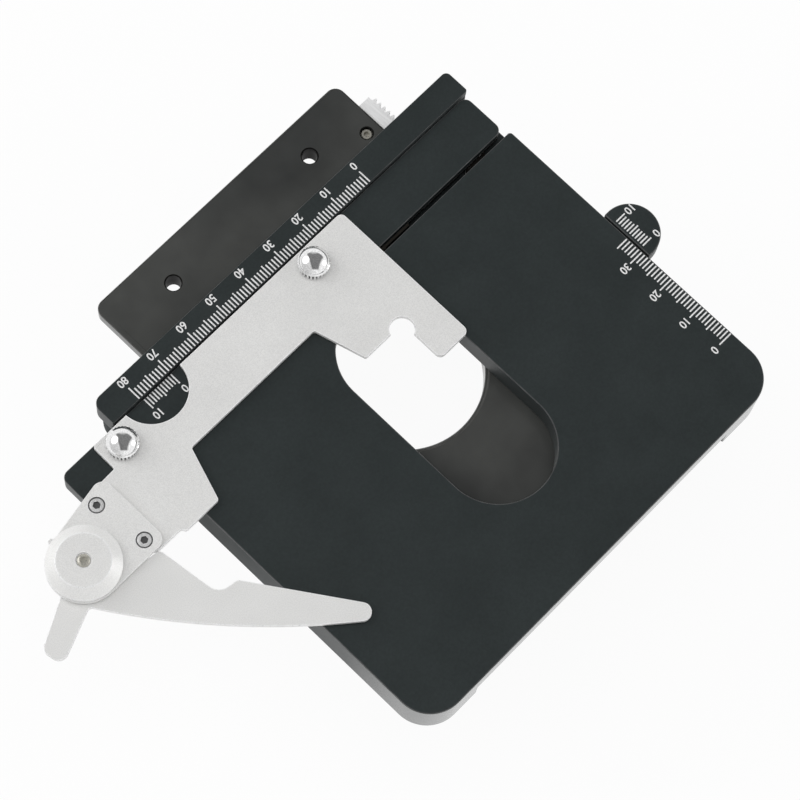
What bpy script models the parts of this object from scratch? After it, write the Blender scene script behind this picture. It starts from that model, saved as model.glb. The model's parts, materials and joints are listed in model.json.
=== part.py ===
"""Two-layer mechanical microscope stage with a coaxial drive and a sprung slide holder.

Metres, +Z up. The origin is the middle of the tongue's mounting face, between its two holes.
+Y points from the stage to the tongue's back edge, +X to the side that carries the drive.
Pieces are drawn about the optical axis at the height of the stage's top, on empties placed there.
The pose is the photographed one: 70.4 on the X scale, 31 on the Y scale, finger closed.
"""
import math

import bmesh
import bpy
from mathutils import Matrix, Vector

for thing in list(bpy.data.objects):
    bpy.data.objects.remove(thing, do_unlink=True)

# Fits
REST_GAP = 0.00025
RUN_GAP = 0.0001
OVERRUN = 0.001

# Fineness of curves
ARC_STEPS = 5
FINE_ARC_STEPS = 9
FINE_ARC_RADIUS = 0.005
LARGE_RADIUS = 0.008
SMALL_RADIUS = 0.0025
HEX_SIDES = 6
SPRING_STEPS = 20

# Lower layer: the plate that is bolted to the stand
BASE_WIDTH = 0.0856
BASE_FRONT = -0.060
TONGUE_BACK = 0.0652
BASE_THICKNESS = 0.0070
BASE_BACK_RADIUS = 0.0028
BASE_FRONT_RADIUS = 0.006
BASE_EDGE = 0.0003
HOLE_LINE = 0.056
HOLE_SPREAD = 0.0482
HOLE_RADIUS = 0.0020
LIGHT_RADIUS = 0.0204
LIGHT_BEVEL = 0.0008
TONGUE_STEP_START = 0.0465
TONGUE_LIP = 0.0041
TONGUE_INSET = 0.0028

# Upper layer: the stage plate that carries the specimen
LAYER_GAP = 0.0005
SLAB_THICKNESS = 0.0078
STAGE_WIDTH = 0.124
STAGE_FRONT = -0.0683
STAGE_BACK = 0.0455
STAGE_FRONT_RADIUS = 0.0095
STAGE_BACK_LEFT_RADIUS = 0.0055
STAGE_BACK_RIGHT_RADIUS = 0.0018
STAGE_EDGE = 0.0003
SKIRT_DEPTH = 0.0135
SKIRT_WALL = 0.0040
RELIEF_LEFT = 0.0021
RELIEF_FRONT_RIGHT = 0.0011
RELIEF_BACK_RIGHT = 0.0060
SLOT_RADIUS = 0.0147
SLOT_FRONT_CENTRE = -0.0312
SLOT_BACK_CENTRE = 0.0031
CHANNEL_FRONT = 0.0231
SLAB_BOTTOM = -SLAB_THICKNESS
BASE_TOP = SLAB_BOTTOM - LAYER_GAP
BASE_BOTTOM = BASE_TOP - BASE_THICKNESS
STAGE_TOP = -BASE_BOTTOM

# X carriage bar, in the channel between the stage plate's step and the scale bar
X_RACE_GAP = 0.0016
CARRIAGE_LEFT = -0.0801
CARRIAGE_RIGHT = 0.0609
CARRIAGE_FRONT = CHANNEL_FRONT + X_RACE_GAP
CARRIAGE_WIDTH = 0.0130
CARRIAGE_BACK = CARRIAGE_FRONT + CARRIAGE_WIDTH
CARRIAGE_THICKNESS = 0.0054
CARRIAGE_RADIUS = 0.0022
CHANNEL_CLEARANCE = 0.0003
CHANNEL_DEPTH = CARRIAGE_THICKNESS + CHANNEL_CLEARANCE

# Scale bar, with the V way that holds the carriage down at its back
WAY_GAP = 0.0003
WAY_HEIGHT = -0.0022
WAY_DEPTH = 0.0010
SCALE_BAR_FRONT = CARRIAGE_BACK + WAY_GAP
SCALE_BAR_TOP = 0.0012
SCALE_BAR_LEFT_RADIUS = 0.0026
SCALE_BAR_RIGHT_RADIUS = 0.0015
BAR_SCREW_X = 0.040
BAR_SCREW_Y = (SCALE_BAR_FRONT + STAGE_BACK) / 2.0
BAR_SCREW_RADIUS = 0.0012
BAR_SCREW_HEAD_RADIUS = 0.0023
BAR_SCREW_HEAD = 0.0011
BAR_SCREW_SINK = 0.0002
BAR_SCREW_LENGTH = 0.0060

# Ball race of the X carriage
X_BALL_RADIUS = 0.0012
X_RACE_HEIGHT = -0.0017
X_CAGE_LEFT = -0.0440
X_CAGE_RIGHT = 0.0260
X_CAGE_RIM = 0.0003

# Ball races of the Y slide: rails let into the lower plate and hung from the stage plate
RACE_BALL_RADIUS = 0.00125
RACE_GAP = 0.0016
RAIL_WIDTH = 0.0046
RAIL_HEIGHT = 0.0037
RACE_SIDE_WALL = 0.00175
RACE_CHANNEL_DEPTH = 0.0043
RACE_FLOOR = BASE_TOP - RACE_CHANNEL_DEPTH
RACE_HEIGHT = (RACE_FLOOR + SLAB_BOTTOM) / 2.0
RACE_OUTER = BASE_WIDTH / 2.0 - RACE_SIDE_WALL - REST_GAP
MOVING_RAIL_INNER = RACE_OUTER - RAIL_WIDTH
FIXED_RAIL_INNER = MOVING_RAIL_INNER - RACE_GAP - RAIL_WIDTH
FIXED_RAIL_FRONT = BASE_FRONT + 2.0 * OVERRUN
FIXED_RAIL_BACK = 0.0435
MOVING_RAIL_FRONT = -0.0620
MOVING_RAIL_BACK = 0.0120
RACE_BACK = FIXED_RAIL_BACK + 2.0 * REST_GAP
CAGE_THICKNESS = 0.0006
CAGE_FRONT = -0.0460
CAGE_BACK = 0.0100
CAGE_RIM = 0.00055
CAGE_BALLS = 4

# Racks and pinions, all of one module
MODULE = 0.0005
PINION_TEETH = 16
PRESSURE_ANGLE = math.radians(20.0)
BACKLASH = 0.00010
PITCH = math.pi * MODULE
PINION_RADIUS = PINION_TEETH * MODULE / 2.0
PINION_TIP = PINION_RADIUS + MODULE
DEDENDUM = 1.25 * MODULE
PINION_POCKET_GAP = 0.0004

# X rack, let into the carriage bar's lower front edge
X_RACK_LEFT = -0.0240
X_RACK_HEIGHT = 0.0018
X_RACK_SINK = 0.0002
X_RACK_TIPS = CARRIAGE_FRONT + X_RACK_SINK
RACK_SEAT_HEIGHT = 0.0022
RACK_SEAT_TOP = RACK_SEAT_HEIGHT - CARRIAGE_THICKNESS
RACK_SEAT_DEPTH = 0.0030
X_RACK_TOP = RACK_SEAT_TOP - REST_GAP
X_RACK_BOTTOM = X_RACK_TOP - X_RACK_HEIGHT

# Y rack, screwed along the lower plate's right side
Y_RACK_DEPTH = 0.0047
Y_RACK_TIPS = BASE_WIDTH / 2.0 + Y_RACK_DEPTH
Y_RACK_FRONT = 0.0060
Y_RACK_TEETH_FRONT = 0.0115
Y_RACK_BACK = 0.0569
Y_RACK_DROP = 0.0006
Y_RACK_TEETH_HEIGHT = 0.0035
Y_RACK_RISE = 0.0004
Y_RACK_TOP = BASE_TOP - Y_RACK_DROP
Y_RACK_TEETH_BOTTOM = Y_RACK_TOP - Y_RACK_TEETH_HEIGHT
Y_RACK_BOTTOM = BASE_BOTTOM + Y_RACK_RISE
RACK_SCREW_FRONT = 0.0100
RACK_SCREW_BACK = 0.0400
RACK_SCREW_HEIGHT = (Y_RACK_BOTTOM + Y_RACK_TEETH_BOTTOM) / 2.0
RACK_SCREW_RADIUS = 0.0007
RACK_SCREW_HEAD_RADIUS = 0.0011
RACK_SCREW_HEAD = 0.0009
RACK_SCREW_LENGTH = 0.0060

# Coaxial drive column, hung under the stage plate
COLUMN_X = Y_RACK_TIPS - MODULE + PINION_RADIUS
COLUMN_Y = X_RACK_TIPS + MODULE - PINION_RADIUS
X_SHAFT_RADIUS = 0.0014
PINION_FACE_GAP = 0.0003
Y_PINION_TOP = Y_RACK_TOP + RUN_GAP
Y_PINION_BOTTOM = Y_RACK_TEETH_BOTTOM + PINION_FACE_GAP
SLEEVE_SEAT_RADIUS = 0.0023
SLEEVE_RADIUS = 0.0041
SLEEVE_TOP = Y_PINION_TOP + PINION_FACE_GAP
SLEEVE_SHOULDER = Y_RACK_TEETH_BOTTOM - PINION_FACE_GAP
SLEEVE_END_RADIUS = 0.0032
HOUSING_DROP = 0.0007
HOUSING_FLANGE = 0.0030
HOUSING_TUBE_LENGTH = 0.0140
HOUSING_TUBE_RADIUS = 0.0063
HOUSING_FLANGE_RADIUS = 0.0066
HOUSING_REACH_LEFT = 0.0020
HOUSING_REACH_RIGHT = 0.0060
HOUSING_BLOCK_GAP = 0.0013
HOUSING_BLOCK_LENGTH = 0.0106
HOUSING_RADIUS = 0.0012
HOUSING_LEFT = COLUMN_X - HOUSING_REACH_LEFT
HOUSING_RIGHT = COLUMN_X + HOUSING_REACH_RIGHT
HOUSING_BLOCK_BACK = COLUMN_Y - PINION_TIP - HOUSING_BLOCK_GAP
HOUSING_FRONT = HOUSING_BLOCK_BACK - HOUSING_BLOCK_LENGTH
HOUSING_FLANGE_TOP = BASE_BOTTOM - HOUSING_DROP
HOUSING_FLANGE_BOTTOM = HOUSING_FLANGE_TOP - HOUSING_FLANGE
HOUSING_TUBE_BOTTOM = HOUSING_FLANGE_TOP - HOUSING_TUBE_LENGTH
HOUSING_SCREW_X = (HOUSING_LEFT + HOUSING_RIGHT) / 2.0
HOUSING_SCREW_Y = (HOUSING_FRONT + HOUSING_BLOCK_BACK) / 2.0
HOUSING_SCREW_SPREAD = 0.0044
HOUSING_SCREW_RADIUS = 0.0009
HOUSING_SCREW_HEAD_RADIUS = 0.0016
HOUSING_SCREW_HEAD = 0.0015
HOUSING_SCREW_BITE = 0.0040
HOUSING_SCREW_TOP = SLAB_BOTTOM + HOUSING_SCREW_BITE

# Knobs
KNOB_FLUTES = 22
KNOB_FLUTE_DEPTH = 0.0004
KNOB_NECK = 0.0026
KNOB_NECK_SHARE = 0.72
KNOB_BEVEL = 0.0008
KNOB_GAP = 0.0003
KNOB_SCREW_RADIUS = 0.0010
KNOB_SCREW_LENGTH = 0.0040
SLEEVE_PROUD = 0.0012
SLEEVE_NECK = HOUSING_TUBE_BOTTOM - SLEEVE_PROUD
Y_KNOB_RADIUS = 0.0110
Y_KNOB_LENGTH = 0.0115
Y_KNOB_TOP = SLEEVE_NECK - KNOB_GAP
Y_KNOB_BOTTOM = Y_KNOB_TOP - Y_KNOB_LENGTH
SLEEVE_BOTTOM = Y_KNOB_BOTTOM + KNOB_GAP
WASHER_RADIUS = 0.0060
WASHER_THICKNESS = 0.0008
WASHER_TOP = Y_KNOB_BOTTOM - REST_GAP
WASHER_BOTTOM = WASHER_TOP - WASHER_THICKNESS
X_KNOB_RADIUS = 0.0090
X_KNOB_LENGTH = 0.0132
X_KNOB_TOP = WASHER_BOTTOM - REST_GAP
X_KNOB_BOTTOM = X_KNOB_TOP - X_KNOB_LENGTH
X_SHAFT_BOTTOM = X_KNOB_BOTTOM + KNOB_GAP

# Y vernier bracket, screwed under the lower plate and reaching round the stage plate's side
VERNIER_Y = -0.01655
VERNIER_RADIUS = 0.00765
VERNIER_GAP = 0.0004
VERNIER_FLAT = 0.0013
VERNIER_THICKNESS = 0.0050
VERNIER_RISER = 0.0034
VERNIER_WIDTH = 0.0120
VERNIER_LEFT = STAGE_WIDTH / 2.0 + VERNIER_GAP
VERNIER_CENTRE = VERNIER_LEFT + VERNIER_FLAT
VERNIER_RISER_LEFT = VERNIER_LEFT + VERNIER_GAP
VERNIER_RISER_RIGHT = VERNIER_RISER_LEFT + VERNIER_RISER
VERNIER_FOOT_LEFT = 0.0220
VERNIER_FOOT = 0.0022
VERNIER_SCREW_INSET = 0.0035
VERNIER_SCREW_X = VERNIER_FOOT_LEFT + VERNIER_SCREW_INSET
VERNIER_SCREW_SPREAD = 0.0064
VERNIER_SCREW_RADIUS = 0.0010
VERNIER_SCREW_HEAD_RADIUS = 0.0019
VERNIER_SCREW_HEAD = 0.0014
VERNIER_SCREW_LENGTH = 0.0060

# Clamp screw let into the tongue's corner
TONGUE_SCREW_INSET = 0.0040
TONGUE_SCREW_X = BASE_WIDTH / 2.0 - TONGUE_SCREW_INSET
TONGUE_SCREW_Y = 0.0502
TONGUE_SCREW_RADIUS = 0.0015
TONGUE_SCREW_SINK = 0.0007
TONGUE_SCREW_LENGTH = 0.0048

# Specimen holder sheet
HOLDER_THICKNESS = 0.0015
HOLDER_RIGHT = 0.0159
HOLDER_BACK = 0.0375
HOLDER_LEFT = -0.0696
HOLDER_CORNER = 0.0015
FENCE_Y = 0.0065
FENCE_RIGHT_START = -0.0070
FENCE_LEFT_START = -0.0576
FENCE_LEFT_END = -0.0684
FENCE_STEP = 0.0008
INNER_EDGE_Y = 0.0204
INNER_EDGE_LEFT = -0.0530
INNER_EDGE_RIGHT = -0.0110
SIDE_STOP_X = 0.0058
SIDE_STOP_END = -0.0064
SIDE_STOP_RADIUS = 0.0016
CORNER_RELIEF_X = 0.0046
CORNER_RELIEF_Y = 0.0055
CORNER_RELIEF_RADIUS = 0.0032
WINDOW_X = -0.0493
WINDOW_Y = 0.0379
WINDOW_RADIUS = 0.0091
LUG_BACK = 0.0299
LUG_FRONT = 0.0077
LUG_STOP_X = -0.0866
LUG_STOP_Y = 0.0271
LUG_SIDE_X = -0.0832
LUG_SIDE_Y = 0.0127
LUG_HEEL_X = -0.0793
LUG_HEEL_Y = 0.0094
LUG_FRONT_X = -0.0766
HOLDER_BOTTOM = REST_GAP
HOLDER_TOP = HOLDER_BOTTOM + HOLDER_THICKNESS

# Finger with its thumb lever, drawn about its pivot
PIVOT_X = -0.0916
PIVOT_Y = 0.0175
FINGER_THICKNESS = 0.0014
FINGER_HUB_RADIUS = 0.0090
FINGER_CLEARANCE = 0.0006
FINGER_TIP_X = 0.0400
FINGER_TIP_Y = -0.0572
FINGER_TIP_RADIUS = 0.0021
FINGER_BOW = 0.0029
FINGER_BOW_POINTS = 8
FINGER_BUMP_X = 0.0236
FINGER_BUMP_Y = -0.0282
FINGER_BUMP_RADIUS = 0.0014
FINGER_NOTCH_X = 0.0180
FINGER_NOTCH_Y = -0.0264
FINGER_NOTCH_RADIUS = 0.0024
FINGER_SHOULDER_X = 0.0150
FINGER_SHOULDER_Y = -0.0101
FINGER_SHOULDER_RADIUS = 0.0012
FINGER_HEEL_X = 0.0118
FINGER_HEEL_Y = -0.0095
FINGER_HEEL_RADIUS = 0.0014
HUB_ARC_START = math.radians(-32.0)
NUB_START = math.radians(91.5)
NUB_TOP_START = math.radians(95.0)
NUB_TOP_END = math.radians(101.0)
NUB_END = math.radians(104.5)
NUB_HEIGHT = 0.0017
LEVER_ROOT_ANGLE = math.radians(188.0)
LEVER_END_UPPER_X = -0.0216
LEVER_END_UPPER_Y = -0.0065
LEVER_END_LOWER_X = -0.0197
LEVER_END_LOWER_Y = -0.0128
LEVER_END_RADIUS = 0.0019
LEVER_HEEL_X = -0.0066
LEVER_HEEL_Y = -0.0076
LEVER_HEEL_RADIUS = 0.0012
FINGER_BOTTOM = REST_GAP
FINGER_TOP = FINGER_BOTTOM + FINGER_THICKNESS

# Cover plate over the finger's hub
COVER_THICKNESS = 0.0013
COVER_PROUD = 0.0003
COVER_RADIUS = FINGER_HUB_RADIUS + COVER_PROUD
COVER_RIGHT = -0.0737
COVER_BACK = 0.0309
COVER_FRONT = PIVOT_Y - COVER_RADIUS
COVER_KNEE_X = -0.0855
COVER_KNEE_Y = 0.0286
COVER_CORNER = 0.0028
COVER_ARC_START = math.radians(80.0)
COVER_SCREW_BACK_X = -0.0794
COVER_SCREW_BACK_Y = 0.0258
COVER_SCREW_FRONT_X = -0.0774
COVER_SCREW_FRONT_Y = 0.0117
COVER_SCREW_RADIUS = 0.0008
COVER_SCREW_HEAD_RADIUS = 0.00185
COVER_SCREW_HEAD = 0.0008
COVER_SCREW_SOCKET = 0.0006
COVER_BOTTOM = HOLDER_TOP + REST_GAP
COVER_TOP = COVER_BOTTOM + COVER_THICKNESS

# Pivot, spring and cap
PIN_RADIUS = 0.0024
PIN_HEAD_RADIUS = 0.0032
PIN_HEAD = 0.0006
PIN_NECK_RADIUS = 0.0018
BUSH_RADIUS = 0.0030
CAP_RADIUS = COVER_RADIUS
CAP_WALL = 0.0029
CAP_CHAMFER = 0.0026
CAP_HEIGHT = 0.0036
CAP_BAND = 0.0012
CAP_CAVITY_RADIUS = CAP_RADIUS - CAP_WALL
CAP_FLAT_RADIUS = CAP_RADIUS - CAP_CHAMFER
CAP_ROOF = 0.0013
CAP_RECESS_RADIUS = 0.0020
CAP_RECESS_DEPTH = 0.0006
CAP_SCREW_RADIUS = 0.0009
CAP_SCREW_HEAD_RADIUS = 0.0018
CAP_SCREW_LENGTH = 0.0028
CAP_BOTTOM = COVER_TOP + REST_GAP
CAP_TOP = CAP_BOTTOM + CAP_HEIGHT
CAVITY_TOP = CAP_TOP - CAP_ROOF
SPRING_GAP = 0.0006
SPRING_STRIP = 0.0004
SPRING_WIDTH = 0.0012
SPRING_TURNS = 2
SPRING_INNER = PIN_HEAD_RADIUS + SPRING_GAP
SPRING_OUTER = CAP_CAVITY_RADIUS - SPRING_GAP

# Thumbscrews through the holder into the carriage bar
THUMB_RIGHT_X = 0.0012
THUMB_LEFT_X = -0.0642
THUMB_LINE = 0.0078
THUMB_Y = CARRIAGE_FRONT + THUMB_LINE
THUMB_RADIUS = 0.0039
THUMB_BAND = 0.0020
THUMB_HEIGHT = 0.0044
THUMB_SHANK_RADIUS = 0.0014
THUMB_SHANK_LIFT = 0.0004
THUMB_SHANK_BOTTOM = THUMB_SHANK_LIFT - CARRIAGE_THICKNESS
THUMB_FLUTES = 18
THUMB_FLUTE_DEPTH = 0.00025


# Materials

def material(name, colour, roughness, metallic):
    """A Principled material with the given plain values."""
    made = bpy.data.materials.new(name)
    made.use_nodes = True
    shader = made.node_tree.nodes["Principled BSDF"]
    shader.inputs["Base Color"].default_value = (*colour, 1.0)
    shader.inputs["Roughness"].default_value = roughness
    shader.inputs["Metallic"].default_value = metallic
    return made


def black_coat(name):
    return material(name, (0.022, 0.026, 0.028), 0.38, 0.0)


def grey_gloss(name):
    return material(name, (0.038, 0.038, 0.036), 0.16, 0.0)


def satin_steel(name):
    return material(name, (0.66, 0.66, 0.65), 0.34, 1.0)


def bright_chrome(name):
    return material(name, (0.80, 0.80, 0.80), 0.08, 1.0)


def dull_steel(name):
    return material(name, (0.52, 0.52, 0.52), 0.30, 1.0)


def brass(name):
    return material(name, (0.72, 0.52, 0.22), 0.30, 1.0)


def nylon(name):
    return material(name, (0.80, 0.79, 0.74), 0.50, 0.0)


# Shape helpers

def empty(name, place, parent=None):
    """An empty that stands for a moving group, placed on its joint's axis."""
    made = bpy.data.objects.new(name, None)
    bpy.context.collection.objects.link(made)
    made.parent = parent
    made.location = place
    return made


def add_object(name, shape, parent, finish, smooth_angle=None):
    """Turns a bmesh into an object with its own material."""
    bmesh.ops.recalc_face_normals(shape, faces=shape.faces)
    mesh = bpy.data.meshes.new(name)
    shape.to_mesh(mesh)
    shape.free()
    if smooth_angle is not None:
        mesh.shade_smooth()
        mesh.set_sharp_from_angle(angle=smooth_angle)
    made = bpy.data.objects.new(name, mesh)
    bpy.context.collection.objects.link(made)
    made.parent = parent
    if finish is not None:
        mesh.materials.append(finish(name))
    return made


def corner_arc(before, corner, after, radius):
    """The points of a fillet in the corner, or the corner itself where the radius is zero."""
    here = Vector(corner)
    if radius <= 0.0:
        return [tuple(here)]
    back = (Vector(before) - here).normalized()
    ahead = (Vector(after) - here).normalized()
    half = back.angle(ahead) / 2.0
    reach = radius / math.tan(half)
    centre = here + (back + ahead).normalized() * (radius / math.sin(half))
    first = here + back * reach - centre
    last = here + ahead * reach - centre
    turn = math.atan2(first.x * last.y - first.y * last.x, first.dot(last))
    steps = FINE_ARC_STEPS if radius > FINE_ARC_RADIUS else ARC_STEPS
    points = []
    for step in range(steps + 1):
        angle = turn * step / steps
        spun = Matrix.Rotation(angle, 2) @ first
        points.append(tuple(centre + spun))
    return points


def rounded(corners):
    """An outline from (x, y, fillet radius) corners, taken anticlockwise."""
    outline = []
    count = len(corners)
    for index, corner in enumerate(corners):
        before = corners[index - 1]
        after = corners[(index + 1) % count]
        outline += corner_arc(before[:2], corner[:2], after[:2], corner[2])
    return outline


def arc(centre, radius, start, end, steps):
    """Points on an arc, ends included."""
    points = []
    for step in range(steps + 1):
        angle = start + (end - start) * step / steps
        points.append((centre[0] + radius * math.cos(angle), centre[1] + radius * math.sin(angle)))
    return points


def rectangle(left, right, front, back, radius=0.0):
    corners = [(left, front, radius), (right, front, radius)]
    corners += [(right, back, radius), (left, back, radius)]
    return corners


def bridged(rings):
    """A closed shape through rings of as many points each, capped at both ends."""
    shape = bmesh.new()
    rows = [[shape.verts.new(point) for point in ring] for ring in rings]
    count = len(rows[0])
    for low, high in zip(rows, rows[1:]):
        for index in range(count):
            following = (index + 1) % count
            shape.faces.new((low[index], low[following], high[following], high[index]))
    shape.faces.new(list(reversed(rows[0])))
    shape.faces.new(rows[-1])
    return shape


def slab(outline, bottom, top):
    """An outline in X and Y raised from bottom to top."""
    return bridged([[(x, y, height) for x, y in outline] for height in (bottom, top)])


def shrunk(outline, amount):
    """The outline drawn in by an amount, point by point, square to its own edges."""
    moved = []
    count = len(outline)
    for index, point in enumerate(outline):
        here = Vector(point)
        into = (here - Vector(outline[index - 1])).normalized()
        out = (Vector(outline[(index + 1) % count]) - here).normalized()
        normal = Vector((-(into.y + out.y), into.x + out.x)).normalized()
        spread = max(normal.dot(Vector((-into.y, into.x))), 0.5)
        moved.append(tuple(here + normal * (amount / spread)))
    return moved


def edged_slab(outline, bottom, top, edge):
    """A slab whose top edge is broken by a small chamfer."""
    inner = shrunk(outline, edge)
    rings = [[(x, y, bottom) for x, y in outline]]
    rings.append([(x, y, top - edge) for x, y in outline])
    rings.append([(x, y, top) for x, y in inner])
    return bridged(rings)


def along_y(section, front, back):
    """A section in X and Z drawn out along Y."""
    return bridged([[(x, place, z) for x, z in section] for place in (front, back)])


def along_x(section, left, right):
    """A section in Y and Z drawn out along X."""
    return bridged([[(place, y, z) for y, z in section] for place in (left, right)])


def turned_ring(shape, radius, height, sides, depth):
    """One ring of a turned shape, with every other point drawn in by a depth, or its point on the axis."""
    if radius == 0.0:
        return [shape.verts.new((0.0, 0.0, height))]
    ring = []
    for side in range(sides):
        angle = 2.0 * math.pi * (side + 1.0 / 2.0) / sides
        reach = radius - depth * (side % 2)
        ring.append(shape.verts.new((reach * math.cos(angle), reach * math.sin(angle), height)))
    return ring


def revolved(profile, sides, closed=False, flute_depth=0.0, fluted=()):
    """A profile of (radius, height) turned about Z; every other side of the fluted rows is drawn in.

    Flat ends, which start or finish on the axis, become one face each.
    """
    shape = bmesh.new()
    flat_start = not closed and profile[0][1] == profile[1][1]
    flat_end = not closed and profile[-1][1] == profile[-2][1]
    used = range(1 if flat_start else 0, len(profile) - (1 if flat_end else 0))
    rows = []
    for number in used:
        radius, height = profile[number]
        depth = flute_depth if number in fluted else 0.0
        rows.append(turned_ring(shape, radius, height, sides, depth))
    pairs = list(zip(rows, rows[1:]))
    if closed:
        pairs.append((rows[-1], rows[0]))
    for low, high in pairs:
        for side in range(sides):
            following = (side + 1) % sides
            corners = [low[side % len(low)], low[following % len(low)]]
            corners += [high[following % len(high)], high[side % len(high)]]
            shape.faces.new(list(dict.fromkeys(corners)))
    if flat_start:
        shape.faces.new(list(reversed(rows[0])))
    if flat_end:
        shape.faces.new(rows[-1])
    return shape


def fine_sides(radius):
    """More sides on larger turned pieces."""
    if radius > LARGE_RADIUS:
        return 40
    return 24 if radius > SMALL_RADIUS else 16


def turned(name, profile, parent, finish, closed=False):
    sides = fine_sides(max(radius for radius, height in profile))
    shape = revolved(profile, sides, closed)
    return add_object(name, shape, parent, finish, math.radians(35.0))


def placed(shape, place):
    bmesh.ops.translate(shape, verts=shape.verts, vec=place)
    return shape


def cutter(target, shape, operation="DIFFERENCE"):
    """Cuts the shape from the target, or joins it on, in the target's own frame."""
    tool = add_object(target.name + "_tool", shape, target.parent, None)
    tool.hide_render = True
    tool.display_type = "WIRE"
    change = target.modifiers.new("shape", "BOOLEAN")
    change.operation = operation
    change.solver = "EXACT"
    change.object = tool
    return tool


def bore(target, x, y, radius, bottom, top):
    """A round hole along Z."""
    shape = revolved([(0.0, bottom), (radius, bottom), (radius, top), (0.0, top)], fine_sides(radius))
    return cutter(target, placed(shape, (x, y, 0.0)))


def box_cut(target, left, right, front, back, bottom, top):
    return cutter(target, slab(rounded(rectangle(left, right, front, back)), bottom, top))


def hex_socket(target, x, y, across, bottom, top):
    """A six-sided key socket along Z."""
    shape = revolved([(0.0, bottom), (across, bottom), (across, top), (0.0, top)], HEX_SIDES)
    return cutter(target, placed(shape, (x, y, 0.0)))


def ball(name, radius, place, parent):
    shape = bmesh.new()
    bmesh.ops.create_icosphere(shape, subdivisions=2, radius=radius)
    made = add_object(name, shape, parent, dull_steel, math.radians(60.0))
    made.location = place
    return made


def groove_depth(ball_radius, gap):
    """How deep a right-angled groove is for a ball that spans the gap between two faces."""
    return (ball_radius + RUN_GAP) * math.sqrt(2.0) - gap / 2.0


# Gears and racks

def flank_angle(radius):
    """Half the angle that a tooth spans at a radius, on an involute flank."""
    base_radius = PINION_RADIUS * math.cos(PRESSURE_ANGLE)
    here = math.acos(min(base_radius / max(radius, base_radius), 1.0))
    rolled = math.tan(here) - here
    at_pitch = math.tan(PRESSURE_ANGLE) - PRESSURE_ANGLE
    half_tooth = math.pi / (2.0 * PINION_TEETH) - BACKLASH / (2.0 * PINION_RADIUS)
    return half_tooth + at_pitch - rolled


def pinion_outline(phase):
    """The toothed outline; phase turns it so that a tooth points at that angle."""
    root = PINION_RADIUS - DEDENDUM
    tip = PINION_RADIUS + MODULE
    radii = [root, PINION_RADIUS, (PINION_RADIUS + tip) / 2.0, tip]
    points = []
    for tooth in range(PINION_TEETH):
        middle = phase + 2.0 * math.pi * tooth / PINION_TEETH
        for radius in radii:
            angle = middle - flank_angle(radius)
            points.append((radius * math.cos(angle), radius * math.sin(angle)))
        for radius in reversed(radii):
            angle = middle + flank_angle(radius)
            points.append((radius * math.cos(angle), radius * math.sin(angle)))
    return points


def rack_profile(start, end, origin):
    """Rack teeth as (place along, height over the pitch line), with a space at the origin."""
    slope = math.tan(PRESSURE_ANGLE)
    half = PITCH / 4.0 - BACKLASH / 2.0
    points = []
    first = math.ceil((start + PITCH / 2.0 - origin) / PITCH - 0.5)
    last = math.floor((end - PITCH / 2.0 - origin) / PITCH - 0.5)
    for number in range(first, last + 1):
        middle = origin + (number + 0.5) * PITCH
        points.append((middle - half - DEDENDUM * slope, -DEDENDUM))
        points.append((middle - half + MODULE * slope, MODULE))
        points.append((middle + half - MODULE * slope, MODULE))
        points.append((middle + half + DEDENDUM * slope, -DEDENDUM))
    return points


def pinion(name, bottom, top, seat_radius, phase, parent):
    made = add_object(name, slab(pinion_outline(phase), bottom, top), parent, brass)
    bore(made, 0.0, 0.0, seat_radius + RUN_GAP, bottom - OVERRUN, top + OVERRUN)
    return made


# Lower layer

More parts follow.
